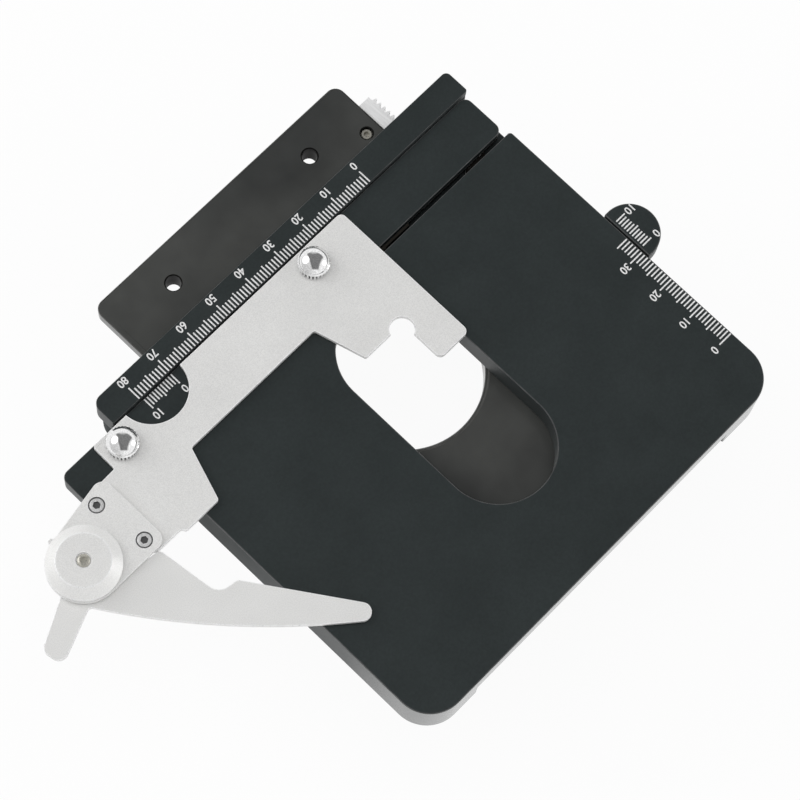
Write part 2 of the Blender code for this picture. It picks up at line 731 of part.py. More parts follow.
def base_plate(layer):
    half = BASE_WIDTH / 2.0
    corners = [(-half, BASE_FRONT, BASE_FRONT_RADIUS), (half, BASE_FRONT, BASE_FRONT_RADIUS)]
    corners += [(half, TONGUE_BACK, BASE_BACK_RADIUS), (-half, TONGUE_BACK, BASE_BACK_RADIUS)]
    outline = rounded(corners)
    plate = add_object("base_plate", edged_slab(outline, BASE_BOTTOM, BASE_TOP, BASE_EDGE), layer, grey_gloss)
    low = BASE_BOTTOM - OVERRUN
    high = BASE_TOP + OVERRUN
    wide = LIGHT_RADIUS + LIGHT_BEVEL
    profile = [(0.0, low), (LIGHT_RADIUS, low), (LIGHT_RADIUS, BASE_TOP - LIGHT_BEVEL)]
    profile += [(wide, BASE_TOP), (wide, high), (0.0, high)]
    cutter(plate, revolved(profile, 48))
    for side in (-1.0, 1.0):
        bore(plate, side * HOLE_SPREAD / 2.0, HOLE_LINE, HOLE_RADIUS, low, high)
        inner = side * (FIXED_RAIL_INNER - REST_GAP)
        outer = side * (RACE_OUTER + REST_GAP)
        box_cut(plate, min(inner, outer), max(inner, outer), BASE_FRONT - OVERRUN, RACE_BACK, RACE_FLOOR, high)
        edge = side * (half - TONGUE_INSET)
        rim = side * (half + OVERRUN)
        box_cut(plate, min(edge, rim), max(edge, rim), TONGUE_STEP_START, TONGUE_BACK + OVERRUN,
                low, BASE_TOP - TONGUE_LIP)
        screw_y = VERNIER_Y + side * VERNIER_SCREW_SPREAD / 2.0
        screw_top = BASE_BOTTOM + VERNIER_SCREW_LENGTH - VERNIER_FOOT
        bore(plate, VERNIER_SCREW_X, screw_y, VERNIER_SCREW_RADIUS + RUN_GAP, low, screw_top)
    box_cut(plate, -half - OVERRUN, half + OVERRUN, TONGUE_BACK - TONGUE_INSET, TONGUE_BACK + OVERRUN,
            low, BASE_TOP - TONGUE_LIP)
    bore(plate, TONGUE_SCREW_X, TONGUE_SCREW_Y, TONGUE_SCREW_RADIUS + RUN_GAP, low, high)
    for place in (RACK_SCREW_FRONT, RACK_SCREW_BACK):
        depth = RACK_SCREW_LENGTH
        hole = side_screw_shape([(RACK_SCREW_RADIUS + RUN_GAP, -depth), (RACK_SCREW_RADIUS + RUN_GAP, OVERRUN)])
        cutter(plate, placed(hole, (half, place, RACK_SCREW_HEIGHT)))
    return plate


def side_screw_shape(steps):
    """A turned shape along X from (radius, place) steps."""
    profile = [(0.0, steps[0][1])] + steps + [(0.0, steps[-1][1])]
    shape = revolved(profile, 12)
    bmesh.ops.rotate(shape, verts=shape.verts, matrix=Matrix.Rotation(math.pi / 2.0, 3, "Y"))
    return shape


def race_section(face, toward, back, bottom, top, ball_radius, gap, height):
    """A rail's section: a block with a right-angled groove in the face that looks toward the ball."""
    depth = groove_depth(ball_radius, gap)
    section = [(back, bottom), (face, bottom), (face, height - depth)]
    section += [(face - toward * depth, height), (face, height + depth), (face, top), (back, top)]
    return section


def rail(name, side, inner, grooved, front, back, bottom, top, layer):
    """One hardened rail; grooved says whether the groove is on its outer or its inner face."""
    face = inner + RAIL_WIDTH if grooved == "outer" else inner
    far = inner if grooved == "outer" else inner + RAIL_WIDTH
    toward = side if grooved == "outer" else -side
    section = race_section(side * face, toward, side * far, bottom, top, RACE_BALL_RADIUS, RACE_GAP, RACE_HEIGHT)
    return add_object(name, along_y(section, front, back), layer, dull_steel)


def y_rack(layer):
    """The steel rack along the tongue's side, toothed over the travel and plain at its lower edge."""
    inner = BASE_WIDTH / 2.0 + RUN_GAP
    pitch_line = Y_RACK_TIPS - MODULE
    teeth = rack_profile(Y_RACK_TEETH_FRONT, Y_RACK_BACK, COLUMN_Y)
    outline = [(inner, Y_RACK_FRONT), (pitch_line + MODULE, Y_RACK_FRONT)]
    outline.append((pitch_line + MODULE, teeth[0][0] - MODULE))
    outline += [(pitch_line + rise, place) for place, rise in teeth]
    outline.append((pitch_line - DEDENDUM, Y_RACK_BACK))
    outline.append((inner, Y_RACK_BACK))
    rack = add_object("y_rack", slab(outline, Y_RACK_BOTTOM, Y_RACK_TOP), layer, satin_steel)
    plain = pitch_line - DEDENDUM
    box_cut(rack, plain, Y_RACK_TIPS + OVERRUN, Y_RACK_FRONT - OVERRUN, Y_RACK_BACK + OVERRUN,
            Y_RACK_BOTTOM - OVERRUN, Y_RACK_TEETH_BOTTOM)
    shank = RACK_SCREW_RADIUS + RUN_GAP
    head = RACK_SCREW_HEAD_RADIUS + RUN_GAP
    seat = -RACK_SCREW_HEAD - REST_GAP
    for place in (RACK_SCREW_FRONT, RACK_SCREW_BACK):
        shape = side_screw_shape([(shank, -RACK_SCREW_LENGTH), (shank, seat), (head, seat), (head, OVERRUN)])
        cutter(rack, placed(shape, (plain, place, RACK_SCREW_HEIGHT)))
    for number, place in enumerate((RACK_SCREW_FRONT, RACK_SCREW_BACK)):
        name = ("y_rack_screw_front", "y_rack_screw_back")[number]
        steps = [(RACK_SCREW_RADIUS, -RACK_SCREW_LENGTH), (RACK_SCREW_RADIUS, -RACK_SCREW_HEAD)]
        steps += [(RACK_SCREW_HEAD_RADIUS, -RACK_SCREW_HEAD), (RACK_SCREW_HEAD_RADIUS, 0.0)]
        screw = add_object(name, side_screw_shape(steps), layer, dull_steel, math.radians(35.0))
        screw.location = (plain, place, RACK_SCREW_HEIGHT)
    return rack


def y_vernier(layer):
    """The half-round vernier tab, its riser and the foot that is screwed under the lower plate."""
    start = -math.pi / 2.0
    outline = [(VERNIER_LEFT, VERNIER_Y - VERNIER_RADIUS)]
    outline += arc((VERNIER_CENTRE, VERNIER_Y), VERNIER_RADIUS, start, -start, 20)
    outline.append((VERNIER_LEFT, VERNIER_Y + VERNIER_RADIUS))
    tab = edged_slab(outline, -VERNIER_THICKNESS, 0.0, STAGE_EDGE)
    bracket = add_object("y_vernier", tab, layer, black_coat)
    foot_top = BASE_BOTTOM - REST_GAP
    foot_bottom = foot_top - VERNIER_FOOT
    section = [(VERNIER_FOOT_LEFT, foot_bottom), (VERNIER_RISER_RIGHT, foot_bottom)]
    section += [(VERNIER_RISER_RIGHT, -VERNIER_THICKNESS + OVERRUN), (VERNIER_RISER_LEFT, -VERNIER_THICKNESS + OVERRUN)]
    section += [(VERNIER_RISER_LEFT, foot_top), (VERNIER_FOOT_LEFT, foot_top)]
    half = VERNIER_WIDTH / 2.0
    cutter(bracket, along_y(section, VERNIER_Y - half, VERNIER_Y + half), "UNION")
    for number, side in enumerate((-1.0, 1.0)):
        place = VERNIER_Y + side * VERNIER_SCREW_SPREAD / 2.0
        bore(bracket, VERNIER_SCREW_X, place, VERNIER_SCREW_RADIUS + RUN_GAP, foot_bottom - OVERRUN, foot_top + OVERRUN)
        head = foot_bottom - RUN_GAP
        profile = [(0.0, head - VERNIER_SCREW_HEAD), (VERNIER_SCREW_HEAD_RADIUS, head - VERNIER_SCREW_HEAD)]
        profile += [(VERNIER_SCREW_HEAD_RADIUS, head), (VERNIER_SCREW_RADIUS, head)]
        tip = head + VERNIER_SCREW_LENGTH
        profile += [(VERNIER_SCREW_RADIUS, tip), (0.0, tip)]
        name = ("y_vernier_screw_front", "y_vernier_screw_back")[number]
        screw = turned(name, profile, layer, dull_steel)
        screw.location = (VERNIER_SCREW_X, place, 0.0)
        hex_socket(screw, VERNIER_SCREW_X, place, VERNIER_SCREW_RADIUS,
                   head - VERNIER_SCREW_HEAD - OVERRUN, head - VERNIER_SCREW_HEAD / 2.0)
    return bracket


def tongue_screw(layer):
    top = BASE_TOP - TONGUE_SCREW_SINK
    bottom = top - TONGUE_SCREW_LENGTH
    profile = [(0.0, bottom), (TONGUE_SCREW_RADIUS / 2.0, bottom)]
    profile += [(TONGUE_SCREW_RADIUS, bottom + TONGUE_SCREW_RADIUS / 2.0), (TONGUE_SCREW_RADIUS, top), (0.0, top)]
    screw = turned("tongue_screw", profile, layer, dull_steel)
    screw.location = (TONGUE_SCREW_X, TONGUE_SCREW_Y, 0.0)
    hex_socket(screw, TONGUE_SCREW_X, TONGUE_SCREW_Y, TONGUE_SCREW_RADIUS / 2.0, top - TONGUE_SCREW_RADIUS, top + OVERRUN)
    return screw


def lower_layer(layer):
    base_plate(layer)
    for side, word in ((-1.0, "left"), (1.0, "right")):
        rail("fixed_rail_" + word, side, FIXED_RAIL_INNER, "outer", FIXED_RAIL_FRONT, FIXED_RAIL_BACK,
             RACE_FLOOR + REST_GAP, RACE_FLOOR + REST_GAP + RAIL_HEIGHT, layer)
    y_rack(layer)
    y_vernier(layer)
    tongue_screw(layer)


# Upper layer

def stage_plate(layer):
    half = STAGE_WIDTH / 2.0
    corners = [(-half, STAGE_FRONT, STAGE_FRONT_RADIUS), (half, STAGE_FRONT, STAGE_FRONT_RADIUS)]
    corners += [(half, STAGE_BACK, STAGE_BACK_RIGHT_RADIUS), (-half, STAGE_BACK, STAGE_BACK_LEFT_RADIUS)]
    outline = rounded(corners)
    plate = add_object("stage_plate", edged_slab(outline, -SKIRT_DEPTH, 0.0, STAGE_EDGE), layer, black_coat)
    low = -SKIRT_DEPTH - OVERRUN
    wall = half - SKIRT_WALL
    beside = BASE_WIDTH / 2.0
    box_cut(plate, -wall, wall, STAGE_FRONT + SKIRT_WALL, STAGE_BACK - SKIRT_WALL, low, SLAB_BOTTOM)
    box_cut(plate, -beside - RELIEF_LEFT, beside + RELIEF_FRONT_RIGHT, STAGE_FRONT - OVERRUN, 0.0, low, SLAB_BOTTOM)
    box_cut(plate, -beside - RELIEF_LEFT, beside + RELIEF_BACK_RIGHT, 0.0, STAGE_BACK + OVERRUN, low, SLAB_BOTTOM)
    box_cut(plate, -half - OVERRUN, half + OVERRUN, CHANNEL_FRONT, STAGE_BACK + OVERRUN, -CHANNEL_DEPTH, OVERRUN)
    slot = arc((0.0, SLOT_FRONT_CENTRE), SLOT_RADIUS, math.pi, 2.0 * math.pi, 20)
    slot += arc((0.0, SLOT_BACK_CENTRE), SLOT_RADIUS, 0.0, math.pi, 20)
    cutter(plate, slab(slot, SLAB_BOTTOM - OVERRUN, OVERRUN))
    bore(plate, COLUMN_X, COLUMN_Y, PINION_TIP + PINION_POCKET_GAP, SLAB_BOTTOM - OVERRUN, RACK_SEAT_TOP)
    depth = groove_depth(X_BALL_RADIUS, X_RACE_GAP)
    section = [(CHANNEL_FRONT + depth, X_RACE_HEIGHT - 2.0 * depth), (CHANNEL_FRONT - depth, X_RACE_HEIGHT)]
    section.append((CHANNEL_FRONT + depth, X_RACE_HEIGHT + 2.0 * depth))
    cutter(plate, along_x(section, -half - OVERRUN, half + OVERRUN))
    for side in (-1.0, 1.0):
        screw_x = HOUSING_SCREW_X + side * HOUSING_SCREW_SPREAD / 2.0
        bore(plate, screw_x, HOUSING_SCREW_Y, HOUSING_SCREW_RADIUS + RUN_GAP, SLAB_BOTTOM - OVERRUN,
             HOUSING_SCREW_TOP + REST_GAP)
        countersink = bar_screw_profile(SLAB_BOTTOM - OVERRUN, OVERRUN, RUN_GAP)
        cutter(plate, placed(revolved(countersink, 16), (side * BAR_SCREW_X, BAR_SCREW_Y, 0.0)))
    return plate


def bar_screw_profile(bottom, top, slack):
    """A screw countersunk from below, or with some slack the hole that takes it."""
    head = SLAB_BOTTOM + BAR_SCREW_SINK
    wide = BAR_SCREW_HEAD_RADIUS + slack
    narrow = BAR_SCREW_RADIUS + slack
    return [(0.0, bottom), (wide, bottom), (wide, head), (narrow, head + BAR_SCREW_HEAD), (narrow, top), (0.0, top)]


def scale_bar(layer):
    half = STAGE_WIDTH / 2.0
    bottom = -CHANNEL_DEPTH + REST_GAP
    corners = [(-half, SCALE_BAR_FRONT, 0.0), (half, SCALE_BAR_FRONT, 0.0)]
    corners += [(half, STAGE_BACK, SCALE_BAR_RIGHT_RADIUS), (-half, STAGE_BACK, SCALE_BAR_LEFT_RADIUS)]
    shape = edged_slab(rounded(corners), bottom, SCALE_BAR_TOP, STAGE_EDGE)
    bar = add_object("scale_bar", shape, layer, black_coat)
    reach = WAY_DEPTH + RUN_GAP * math.sqrt(2.0) - WAY_GAP
    section = [(SCALE_BAR_FRONT - reach, WAY_HEIGHT - 2.0 * reach), (SCALE_BAR_FRONT + reach, WAY_HEIGHT)]
    section.append((SCALE_BAR_FRONT - reach, WAY_HEIGHT + 2.0 * reach))
    cutter(bar, along_x(section, -half - OVERRUN, half + OVERRUN))
    screw_top = SLAB_BOTTOM + BAR_SCREW_LENGTH
    for side, word in ((-1.0, "left"), (1.0, "right")):
        bore(bar, side * BAR_SCREW_X, BAR_SCREW_Y, BAR_SCREW_RADIUS + RUN_GAP, bottom - OVERRUN, screw_top + REST_GAP)
        profile = bar_screw_profile(SLAB_BOTTOM + RUN_GAP, screw_top, 0.0)
        screw = turned("scale_bar_screw_" + word, profile, layer, dull_steel)
        screw.location = (side * BAR_SCREW_X, BAR_SCREW_Y, 0.0)
        hex_socket(screw, side * BAR_SCREW_X, BAR_SCREW_Y, BAR_SCREW_RADIUS / 2.0,
                   SLAB_BOTTOM - OVERRUN, SLAB_BOTTOM + BAR_SCREW_HEAD)
    return bar


def drive_housing(layer):
    """The cast bracket that hangs the coaxial column from the stage plate."""
    block = rounded(rectangle(HOUSING_LEFT, HOUSING_RIGHT, HOUSING_FRONT, HOUSING_BLOCK_BACK, HOUSING_RADIUS))
    housing = add_object("drive_housing", slab(block, HOUSING_FLANGE_BOTTOM, SLAB_BOTTOM - REST_GAP), layer, black_coat)
    nose = [(COLUMN_X - HOUSING_FLANGE_RADIUS, HOUSING_FRONT + HOUSING_RADIUS)]
    nose.append((COLUMN_X + HOUSING_FLANGE_RADIUS, HOUSING_FRONT + HOUSING_RADIUS))
    nose += arc((COLUMN_X, COLUMN_Y), HOUSING_FLANGE_RADIUS, 0.0, math.pi, 20)
    cutter(housing, slab(nose, HOUSING_FLANGE_BOTTOM, HOUSING_FLANGE_TOP), "UNION")
    tube = [(0.0, HOUSING_TUBE_BOTTOM), (HOUSING_TUBE_RADIUS - KNOB_BEVEL, HOUSING_TUBE_BOTTOM)]
    tube += [(HOUSING_TUBE_RADIUS, HOUSING_TUBE_BOTTOM + KNOB_BEVEL), (HOUSING_TUBE_RADIUS, HOUSING_FLANGE_TOP - OVERRUN)]
    tube.append((0.0, HOUSING_FLANGE_TOP - OVERRUN))
    cutter(housing, placed(revolved(tube, 28), (COLUMN_X, COLUMN_Y, 0.0)), "UNION")
    bore(housing, COLUMN_X, COLUMN_Y, SLEEVE_RADIUS + RUN_GAP, HOUSING_TUBE_BOTTOM - OVERRUN,
         HOUSING_FLANGE_TOP + OVERRUN)
    seat = HOUSING_FLANGE_BOTTOM + HOUSING_SCREW_HEAD + RUN_GAP
    for side, word in ((-1.0, "left"), (1.0, "right")):
        place = HOUSING_SCREW_X + side * HOUSING_SCREW_SPREAD / 2.0
        bore(housing, place, HOUSING_SCREW_Y, HOUSING_SCREW_RADIUS + RUN_GAP, HOUSING_FLANGE_BOTTOM - OVERRUN,
             SLAB_BOTTOM + OVERRUN)
        bore(housing, place, HOUSING_SCREW_Y, HOUSING_SCREW_HEAD_RADIUS + RUN_GAP, HOUSING_FLANGE_BOTTOM - OVERRUN, seat)
        low = HOUSING_FLANGE_BOTTOM
        high = low + HOUSING_SCREW_HEAD
        profile = [(0.0, low), (HOUSING_SCREW_HEAD_RADIUS, low), (HOUSING_SCREW_HEAD_RADIUS, high)]
        profile += [(HOUSING_SCREW_RADIUS, high), (HOUSING_SCREW_RADIUS, HOUSING_SCREW_TOP), (0.0, HOUSING_SCREW_TOP)]
        screw = turned("housing_screw_" + word, profile, layer, dull_steel)
        screw.location = (place, HOUSING_SCREW_Y, 0.0)
        hex_socket(screw, place, HOUSING_SCREW_Y, HOUSING_SCREW_RADIUS, low - OVERRUN, low + HOUSING_SCREW_HEAD / 2.0)
    return housing


def upper_layer(layer):
    stage_plate(layer)
    scale_bar(layer)
    for side, word in ((-1.0, "left"), (1.0, "right")):
        rail("moving_rail_" + word, side, MOVING_RAIL_INNER, "inner", MOVING_RAIL_FRONT,
             MOVING_RAIL_BACK, SLAB_BOTTOM - REST_GAP - RAIL_HEIGHT, SLAB_BOTTOM - REST_GAP, layer)
    drive_housing(layer)


# Ball cages, which run at half the speed of the layer above them

def cage_places(front, back):
    step = (back - front) / CAGE_BALLS
    return [front + (number + 0.5) * step for number in range(CAGE_BALLS)]


def y_cage(side, word, layer):
    centre = side * (MOVING_RAIL_INNER - RACE_GAP / 2.0)
    thick = CAGE_THICKNESS / 2.0
    low = RACE_HEIGHT - RACE_BALL_RADIUS - CAGE_RIM
    high = RACE_HEIGHT + RACE_BALL_RADIUS + CAGE_RIM
    strip = [(centre - thick, low), (centre + thick, low), (centre + thick, high), (centre - thick, high)]
    cage = add_object("y_cage_" + word, along_y(strip, CAGE_FRONT, CAGE_BACK), layer, brass)
    for number, place in enumerate(cage_places(CAGE_FRONT, CAGE_BACK)):
        reach = RACE_BALL_RADIUS + RUN_GAP
        hole = side_screw_shape([(reach, -OVERRUN), (reach, OVERRUN)])
        cutter(cage, placed(hole, (centre, place, RACE_HEIGHT)))
        ball("y_ball_%s_%d" % (word, number + 1), RACE_BALL_RADIUS, (centre, place, RACE_HEIGHT), layer)
    return cage


def x_cage(layer):
    centre = (CHANNEL_FRONT + CARRIAGE_FRONT) / 2.0
    thick = CAGE_THICKNESS / 2.0
    low = X_RACE_HEIGHT - X_BALL_RADIUS - X_CAGE_RIM
    high = X_RACE_HEIGHT + X_BALL_RADIUS + X_CAGE_RIM
    strip = [(centre - thick, low), (centre + thick, low), (centre + thick, high), (centre - thick, high)]
    cage = add_object("x_cage", along_x(strip, X_CAGE_LEFT, X_CAGE_RIGHT), layer, brass)
    for number, place in enumerate(cage_places(X_CAGE_LEFT, X_CAGE_RIGHT)):
        reach = X_BALL_RADIUS + RUN_GAP
        hole = revolved([(0.0, -OVERRUN), (reach, -OVERRUN), (reach, OVERRUN), (0.0, OVERRUN)], 12)
        bmesh.ops.rotate(hole, verts=hole.verts, matrix=Matrix.Rotation(math.pi / 2.0, 3, "X"))
        cutter(cage, placed(hole, (place, centre, X_RACE_HEIGHT)))
        ball("x_ball_%d" % (number + 1), X_BALL_RADIUS, (place, centre, X_RACE_HEIGHT), layer)
    return cage


# Carriage

def carriage_bar(layer):
    corners = [(CARRIAGE_LEFT, CARRIAGE_FRONT, CARRIAGE_RADIUS), (CARRIAGE_RIGHT, CARRIAGE_FRONT, CARRIAGE_RADIUS)]
    corners += [(CARRIAGE_RIGHT, CARRIAGE_BACK, CARRIAGE_RADIUS), (CARRIAGE_LEFT, CARRIAGE_BACK, CARRIAGE_RADIUS)]
    shape = edged_slab(rounded(corners), -CARRIAGE_THICKNESS, 0.0, STAGE_EDGE)
    bar = add_object("carriage_bar", shape, layer, black_coat)
    ridge = [(CARRIAGE_BACK - WAY_DEPTH, WAY_HEIGHT - 2.0 * WAY_DEPTH), (CARRIAGE_BACK + WAY_DEPTH, WAY_HEIGHT)]
    ridge.append((CARRIAGE_BACK - WAY_DEPTH, WAY_HEIGHT + 2.0 * WAY_DEPTH))
    cutter(bar, along_x(ridge, CARRIAGE_LEFT + CARRIAGE_RADIUS, CARRIAGE_RIGHT - CARRIAGE_RADIUS), "UNION")
    depth = groove_depth(X_BALL_RADIUS, X_RACE_GAP)
    groove = [(CARRIAGE_FRONT - depth, X_RACE_HEIGHT - 2.0 * depth), (CARRIAGE_FRONT + depth, X_RACE_HEIGHT)]
    groove.append((CARRIAGE_FRONT - depth, X_RACE_HEIGHT + 2.0 * depth))
    cutter(bar, along_x(groove, CARRIAGE_LEFT - OVERRUN, CARRIAGE_RIGHT + OVERRUN))
    box_cut(bar, X_RACK_LEFT, CARRIAGE_RIGHT + OVERRUN, CARRIAGE_FRONT - OVERRUN, CARRIAGE_FRONT + RACK_SEAT_DEPTH,
            -CARRIAGE_THICKNESS - OVERRUN, RACK_SEAT_TOP)
    for place in (THUMB_LEFT_X, THUMB_RIGHT_X):
        bore(bar, place, THUMB_Y, THUMB_SHANK_RADIUS + RUN_GAP, -CARRIAGE_THICKNESS - OVERRUN, OVERRUN)
    return bar


def x_rack(layer):
    """The rack strip let into the carriage bar's lower front edge, teeth to the front."""
    left = X_RACK_LEFT + REST_GAP
    right = CARRIAGE_RIGHT - REST_GAP
    pitch_line = X_RACK_TIPS + MODULE
    back = CARRIAGE_FRONT + RACK_SEAT_DEPTH - RUN_GAP
    outline = [(left, pitch_line + DEDENDUM)]
    outline += [(place, pitch_line - rise) for place, rise in rack_profile(left, right, COLUMN_X)]
    outline += [(right, pitch_line + DEDENDUM), (right, back), (left, back)]
    return add_object("x_rack", slab(outline, X_RACK_BOTTOM, X_RACK_TOP), layer, dull_steel)


def holder_sheet(layer):
    """The holder: a back fence in two tips, a side stop, a notch for the vernier and a lug."""
    corners = [(HOLDER_RIGHT, SIDE_STOP_END, SIDE_STOP_RADIUS), (HOLDER_RIGHT, HOLDER_BACK, HOLDER_CORNER)]
    corners += [(HOLDER_LEFT, HOLDER_BACK, HOLDER_CORNER), (HOLDER_LEFT, LUG_BACK, HOLDER_CORNER)]
    corners += [(LUG_STOP_X + LUG_BACK - LUG_STOP_Y, LUG_BACK, 0.0), (LUG_STOP_X, LUG_STOP_Y, 0.0)]
    corners += [(LUG_STOP_X, PIVOT_Y + FINGER_HUB_RADIUS, 0.0), (LUG_SIDE_X, LUG_SIDE_Y, 0.0)]
    corners += [(LUG_HEEL_X, LUG_HEEL_Y, 0.0), (LUG_FRONT_X, LUG_FRONT, 0.0)]
    corners += [(FENCE_LEFT_END - FENCE_STEP, LUG_FRONT, FENCE_STEP), (FENCE_LEFT_END, FENCE_Y, FENCE_STEP)]
    corners += [(FENCE_LEFT_START, FENCE_Y, HOLDER_CORNER / 2.0), (INNER_EDGE_LEFT, INNER_EDGE_Y, HOLDER_CORNER / 2.0)]
    corners += [(INNER_EDGE_RIGHT, INNER_EDGE_Y, HOLDER_CORNER / 2.0)]
    corners += [(FENCE_RIGHT_START, FENCE_Y, HOLDER_CORNER / 2.0), (SIDE_STOP_X, FENCE_Y, 0.0)]
    corners += [(SIDE_STOP_X, SIDE_STOP_END, SIDE_STOP_RADIUS)]
    sheet = add_object("holder_sheet", slab(rounded(corners), HOLDER_BOTTOM, HOLDER_TOP), layer, satin_steel)
    low = HOLDER_BOTTOM - OVERRUN
    high = HOLDER_TOP + OVERRUN
    bore(sheet, WINDOW_X, WINDOW_Y, WINDOW_RADIUS, low, high)
    bore(sheet, CORNER_RELIEF_X, CORNER_RELIEF_Y, CORNER_RELIEF_RADIUS, low, high)
    bore(sheet, PIVOT_X, PIVOT_Y, FINGER_HUB_RADIUS + FINGER_CLEARANCE, low, high)
    for place in (THUMB_LEFT_X, THUMB_RIGHT_X):
        bore(sheet, place, THUMB_Y, THUMB_SHANK_RADIUS + REST_GAP, low, high)
    for x, y in cover_screw_places():
        bore(sheet, x, y, COVER_SCREW_RADIUS + RUN_GAP, low, high)
    return sheet


def cover_screw_places():
    return [(COVER_SCREW_BACK_X, COVER_SCREW_BACK_Y), (COVER_SCREW_FRONT_X, COVER_SCREW_FRONT_Y)]


def cover_plate(layer):
    corners = rounded([(PIVOT_X, COVER_FRONT, 0.0), (COVER_RIGHT, COVER_FRONT, COVER_CORNER),
                       (COVER_RIGHT, COVER_BACK, COVER_CORNER), (COVER_KNEE_X, COVER_KNEE_Y, COVER_CORNER),
                       (PIVOT_X, PIVOT_Y + COVER_RADIUS, 0.0)])
    outline = corners[1:-1]
    outline += arc((PIVOT_X, PIVOT_Y), COVER_RADIUS, COVER_ARC_START, 1.5 * math.pi, 28)
    plate = add_object("cover_plate", edged_slab(outline, COVER_BOTTOM, COVER_TOP, REST_GAP), layer, satin_steel)
    low = COVER_BOTTOM - OVERRUN
    high = COVER_TOP + OVERRUN
    bore(plate, PIVOT_X, PIVOT_Y, BUSH_RADIUS + RUN_GAP, low, high)
    for number, (x, y) in enumerate(cover_screw_places()):
        bore(plate, x, y, COVER_SCREW_RADIUS + RUN_GAP, low, high)
        bore(plate, x, y, COVER_SCREW_HEAD_RADIUS + RUN_GAP, COVER_TOP - COVER_SCREW_HEAD - RUN_GAP, high)
        under = COVER_TOP - COVER_SCREW_HEAD
        tip = HOLDER_BOTTOM + REST_GAP
        profile = [(0.0, tip), (COVER_SCREW_RADIUS, tip), (COVER_SCREW_RADIUS, under)]
        profile += [(COVER_SCREW_HEAD_RADIUS, under), (COVER_SCREW_HEAD_RADIUS, COVER_TOP), (0.0, COVER_TOP)]
        name = ("cover_screw_back", "cover_screw_front")[number]
        screw = turned(name, profile, layer, satin_steel)
        screw.location = (x, y, 0.0)
        hex_socket(screw, x, y, COVER_SCREW_RADIUS, COVER_TOP - COVER_SCREW_SOCKET, COVER_TOP + OVERRUN)
    return plate


def pivot_bush(layer):
    inner = PIN_NECK_RADIUS + RUN_GAP
    profile = [(inner, COVER_BOTTOM), (BUSH_RADIUS, COVER_BOTTOM), (BUSH_RADIUS, COVER_TOP), (inner, COVER_TOP)]
    bush = turned("pivot_bush", profile, layer, brass, closed=True)
    bush.location = (PIVOT_X, PIVOT_Y, 0.0)
    return bush


def spring(layer):
    """The flat spiral spring between the cover and the cap, a strip wound in one plane about the pivot."""
    count = SPRING_TURNS * SPRING_STEPS
    outer = []
    inner = []
    for step in range(count + 1):
        share = step / count
        angle = 2.0 * math.pi * SPRING_TURNS * share
        middle = SPRING_INNER + (SPRING_OUTER - SPRING_INNER) * share
        for side, edge in ((outer, middle + SPRING_STRIP / 2.0), (inner, middle - SPRING_STRIP / 2.0)):
            side.append((PIVOT_X + edge * math.cos(angle), PIVOT_Y + edge * math.sin(angle)))
    low = COVER_TOP + REST_GAP
    strip = slab(outer + inner[::-1], low, low + SPRING_WIDTH)
    return add_object("torsion_spring", strip, layer, dull_steel)


def thumbscrew(name, place, layer):
    """A chromed screw with a fluted band and a domed top, on its own axis."""
    axis = empty(name + "_axis", (place, THUMB_Y, 0.0), layer)
    low = HOLDER_TOP + REST_GAP
    band = low + THUMB_BAND
    profile = [(0.0, THUMB_SHANK_BOTTOM), (THUMB_SHANK_RADIUS, THUMB_SHANK_BOTTOM), (THUMB_SHANK_RADIUS, low)]
    profile += [(THUMB_RADIUS - THUMB_FLUTE_DEPTH, low), (THUMB_RADIUS, low + THUMB_FLUTE_DEPTH)]
    profile += [(THUMB_RADIUS, band - THUMB_FLUTE_DEPTH), (THUMB_RADIUS - THUMB_FLUTE_DEPTH, band)]
    dome = THUMB_HEIGHT - THUMB_BAND
    wide = THUMB_RADIUS - THUMB_FLUTE_DEPTH
    for step in range(1, ARC_STEPS):
        angle = math.pi / 2.0 * step / ARC_STEPS
        profile.append((wide * math.cos(angle), band + dome * math.sin(angle)))
    profile.append((0.0, band + dome))
    shape = revolved(profile, 2 * THUMB_FLUTES, flute_depth=THUMB_FLUTE_DEPTH, fluted=(4, 5))
    return add_object(name, shape, axis, bright_chrome, math.radians(35.0))


def carriage(layer):
    carriage_bar(layer)
    x_rack(layer)
    holder_sheet(layer)
    cover_plate(layer)
    pivot_bush(layer)
    spring(layer)
    thumbscrew("thumbscrew_left", THUMB_LEFT_X, layer)
    thumbscrew("thumbscrew_right", THUMB_RIGHT_X, layer)


# Finger

def bowed(start, end, bow, count):
    """Points between two ends on an arc that bows out to the right of the way from end to start."""
    first = Vector(start)
    along = Vector(end) - first
    side = Vector((along.y, -along.x)).normalized()
    points = []
    for step in range(1, count):
        share = step / count
        points.append(tuple(first + along * share + side * (4.0 * bow * share * (1.0 - share))))
    return points


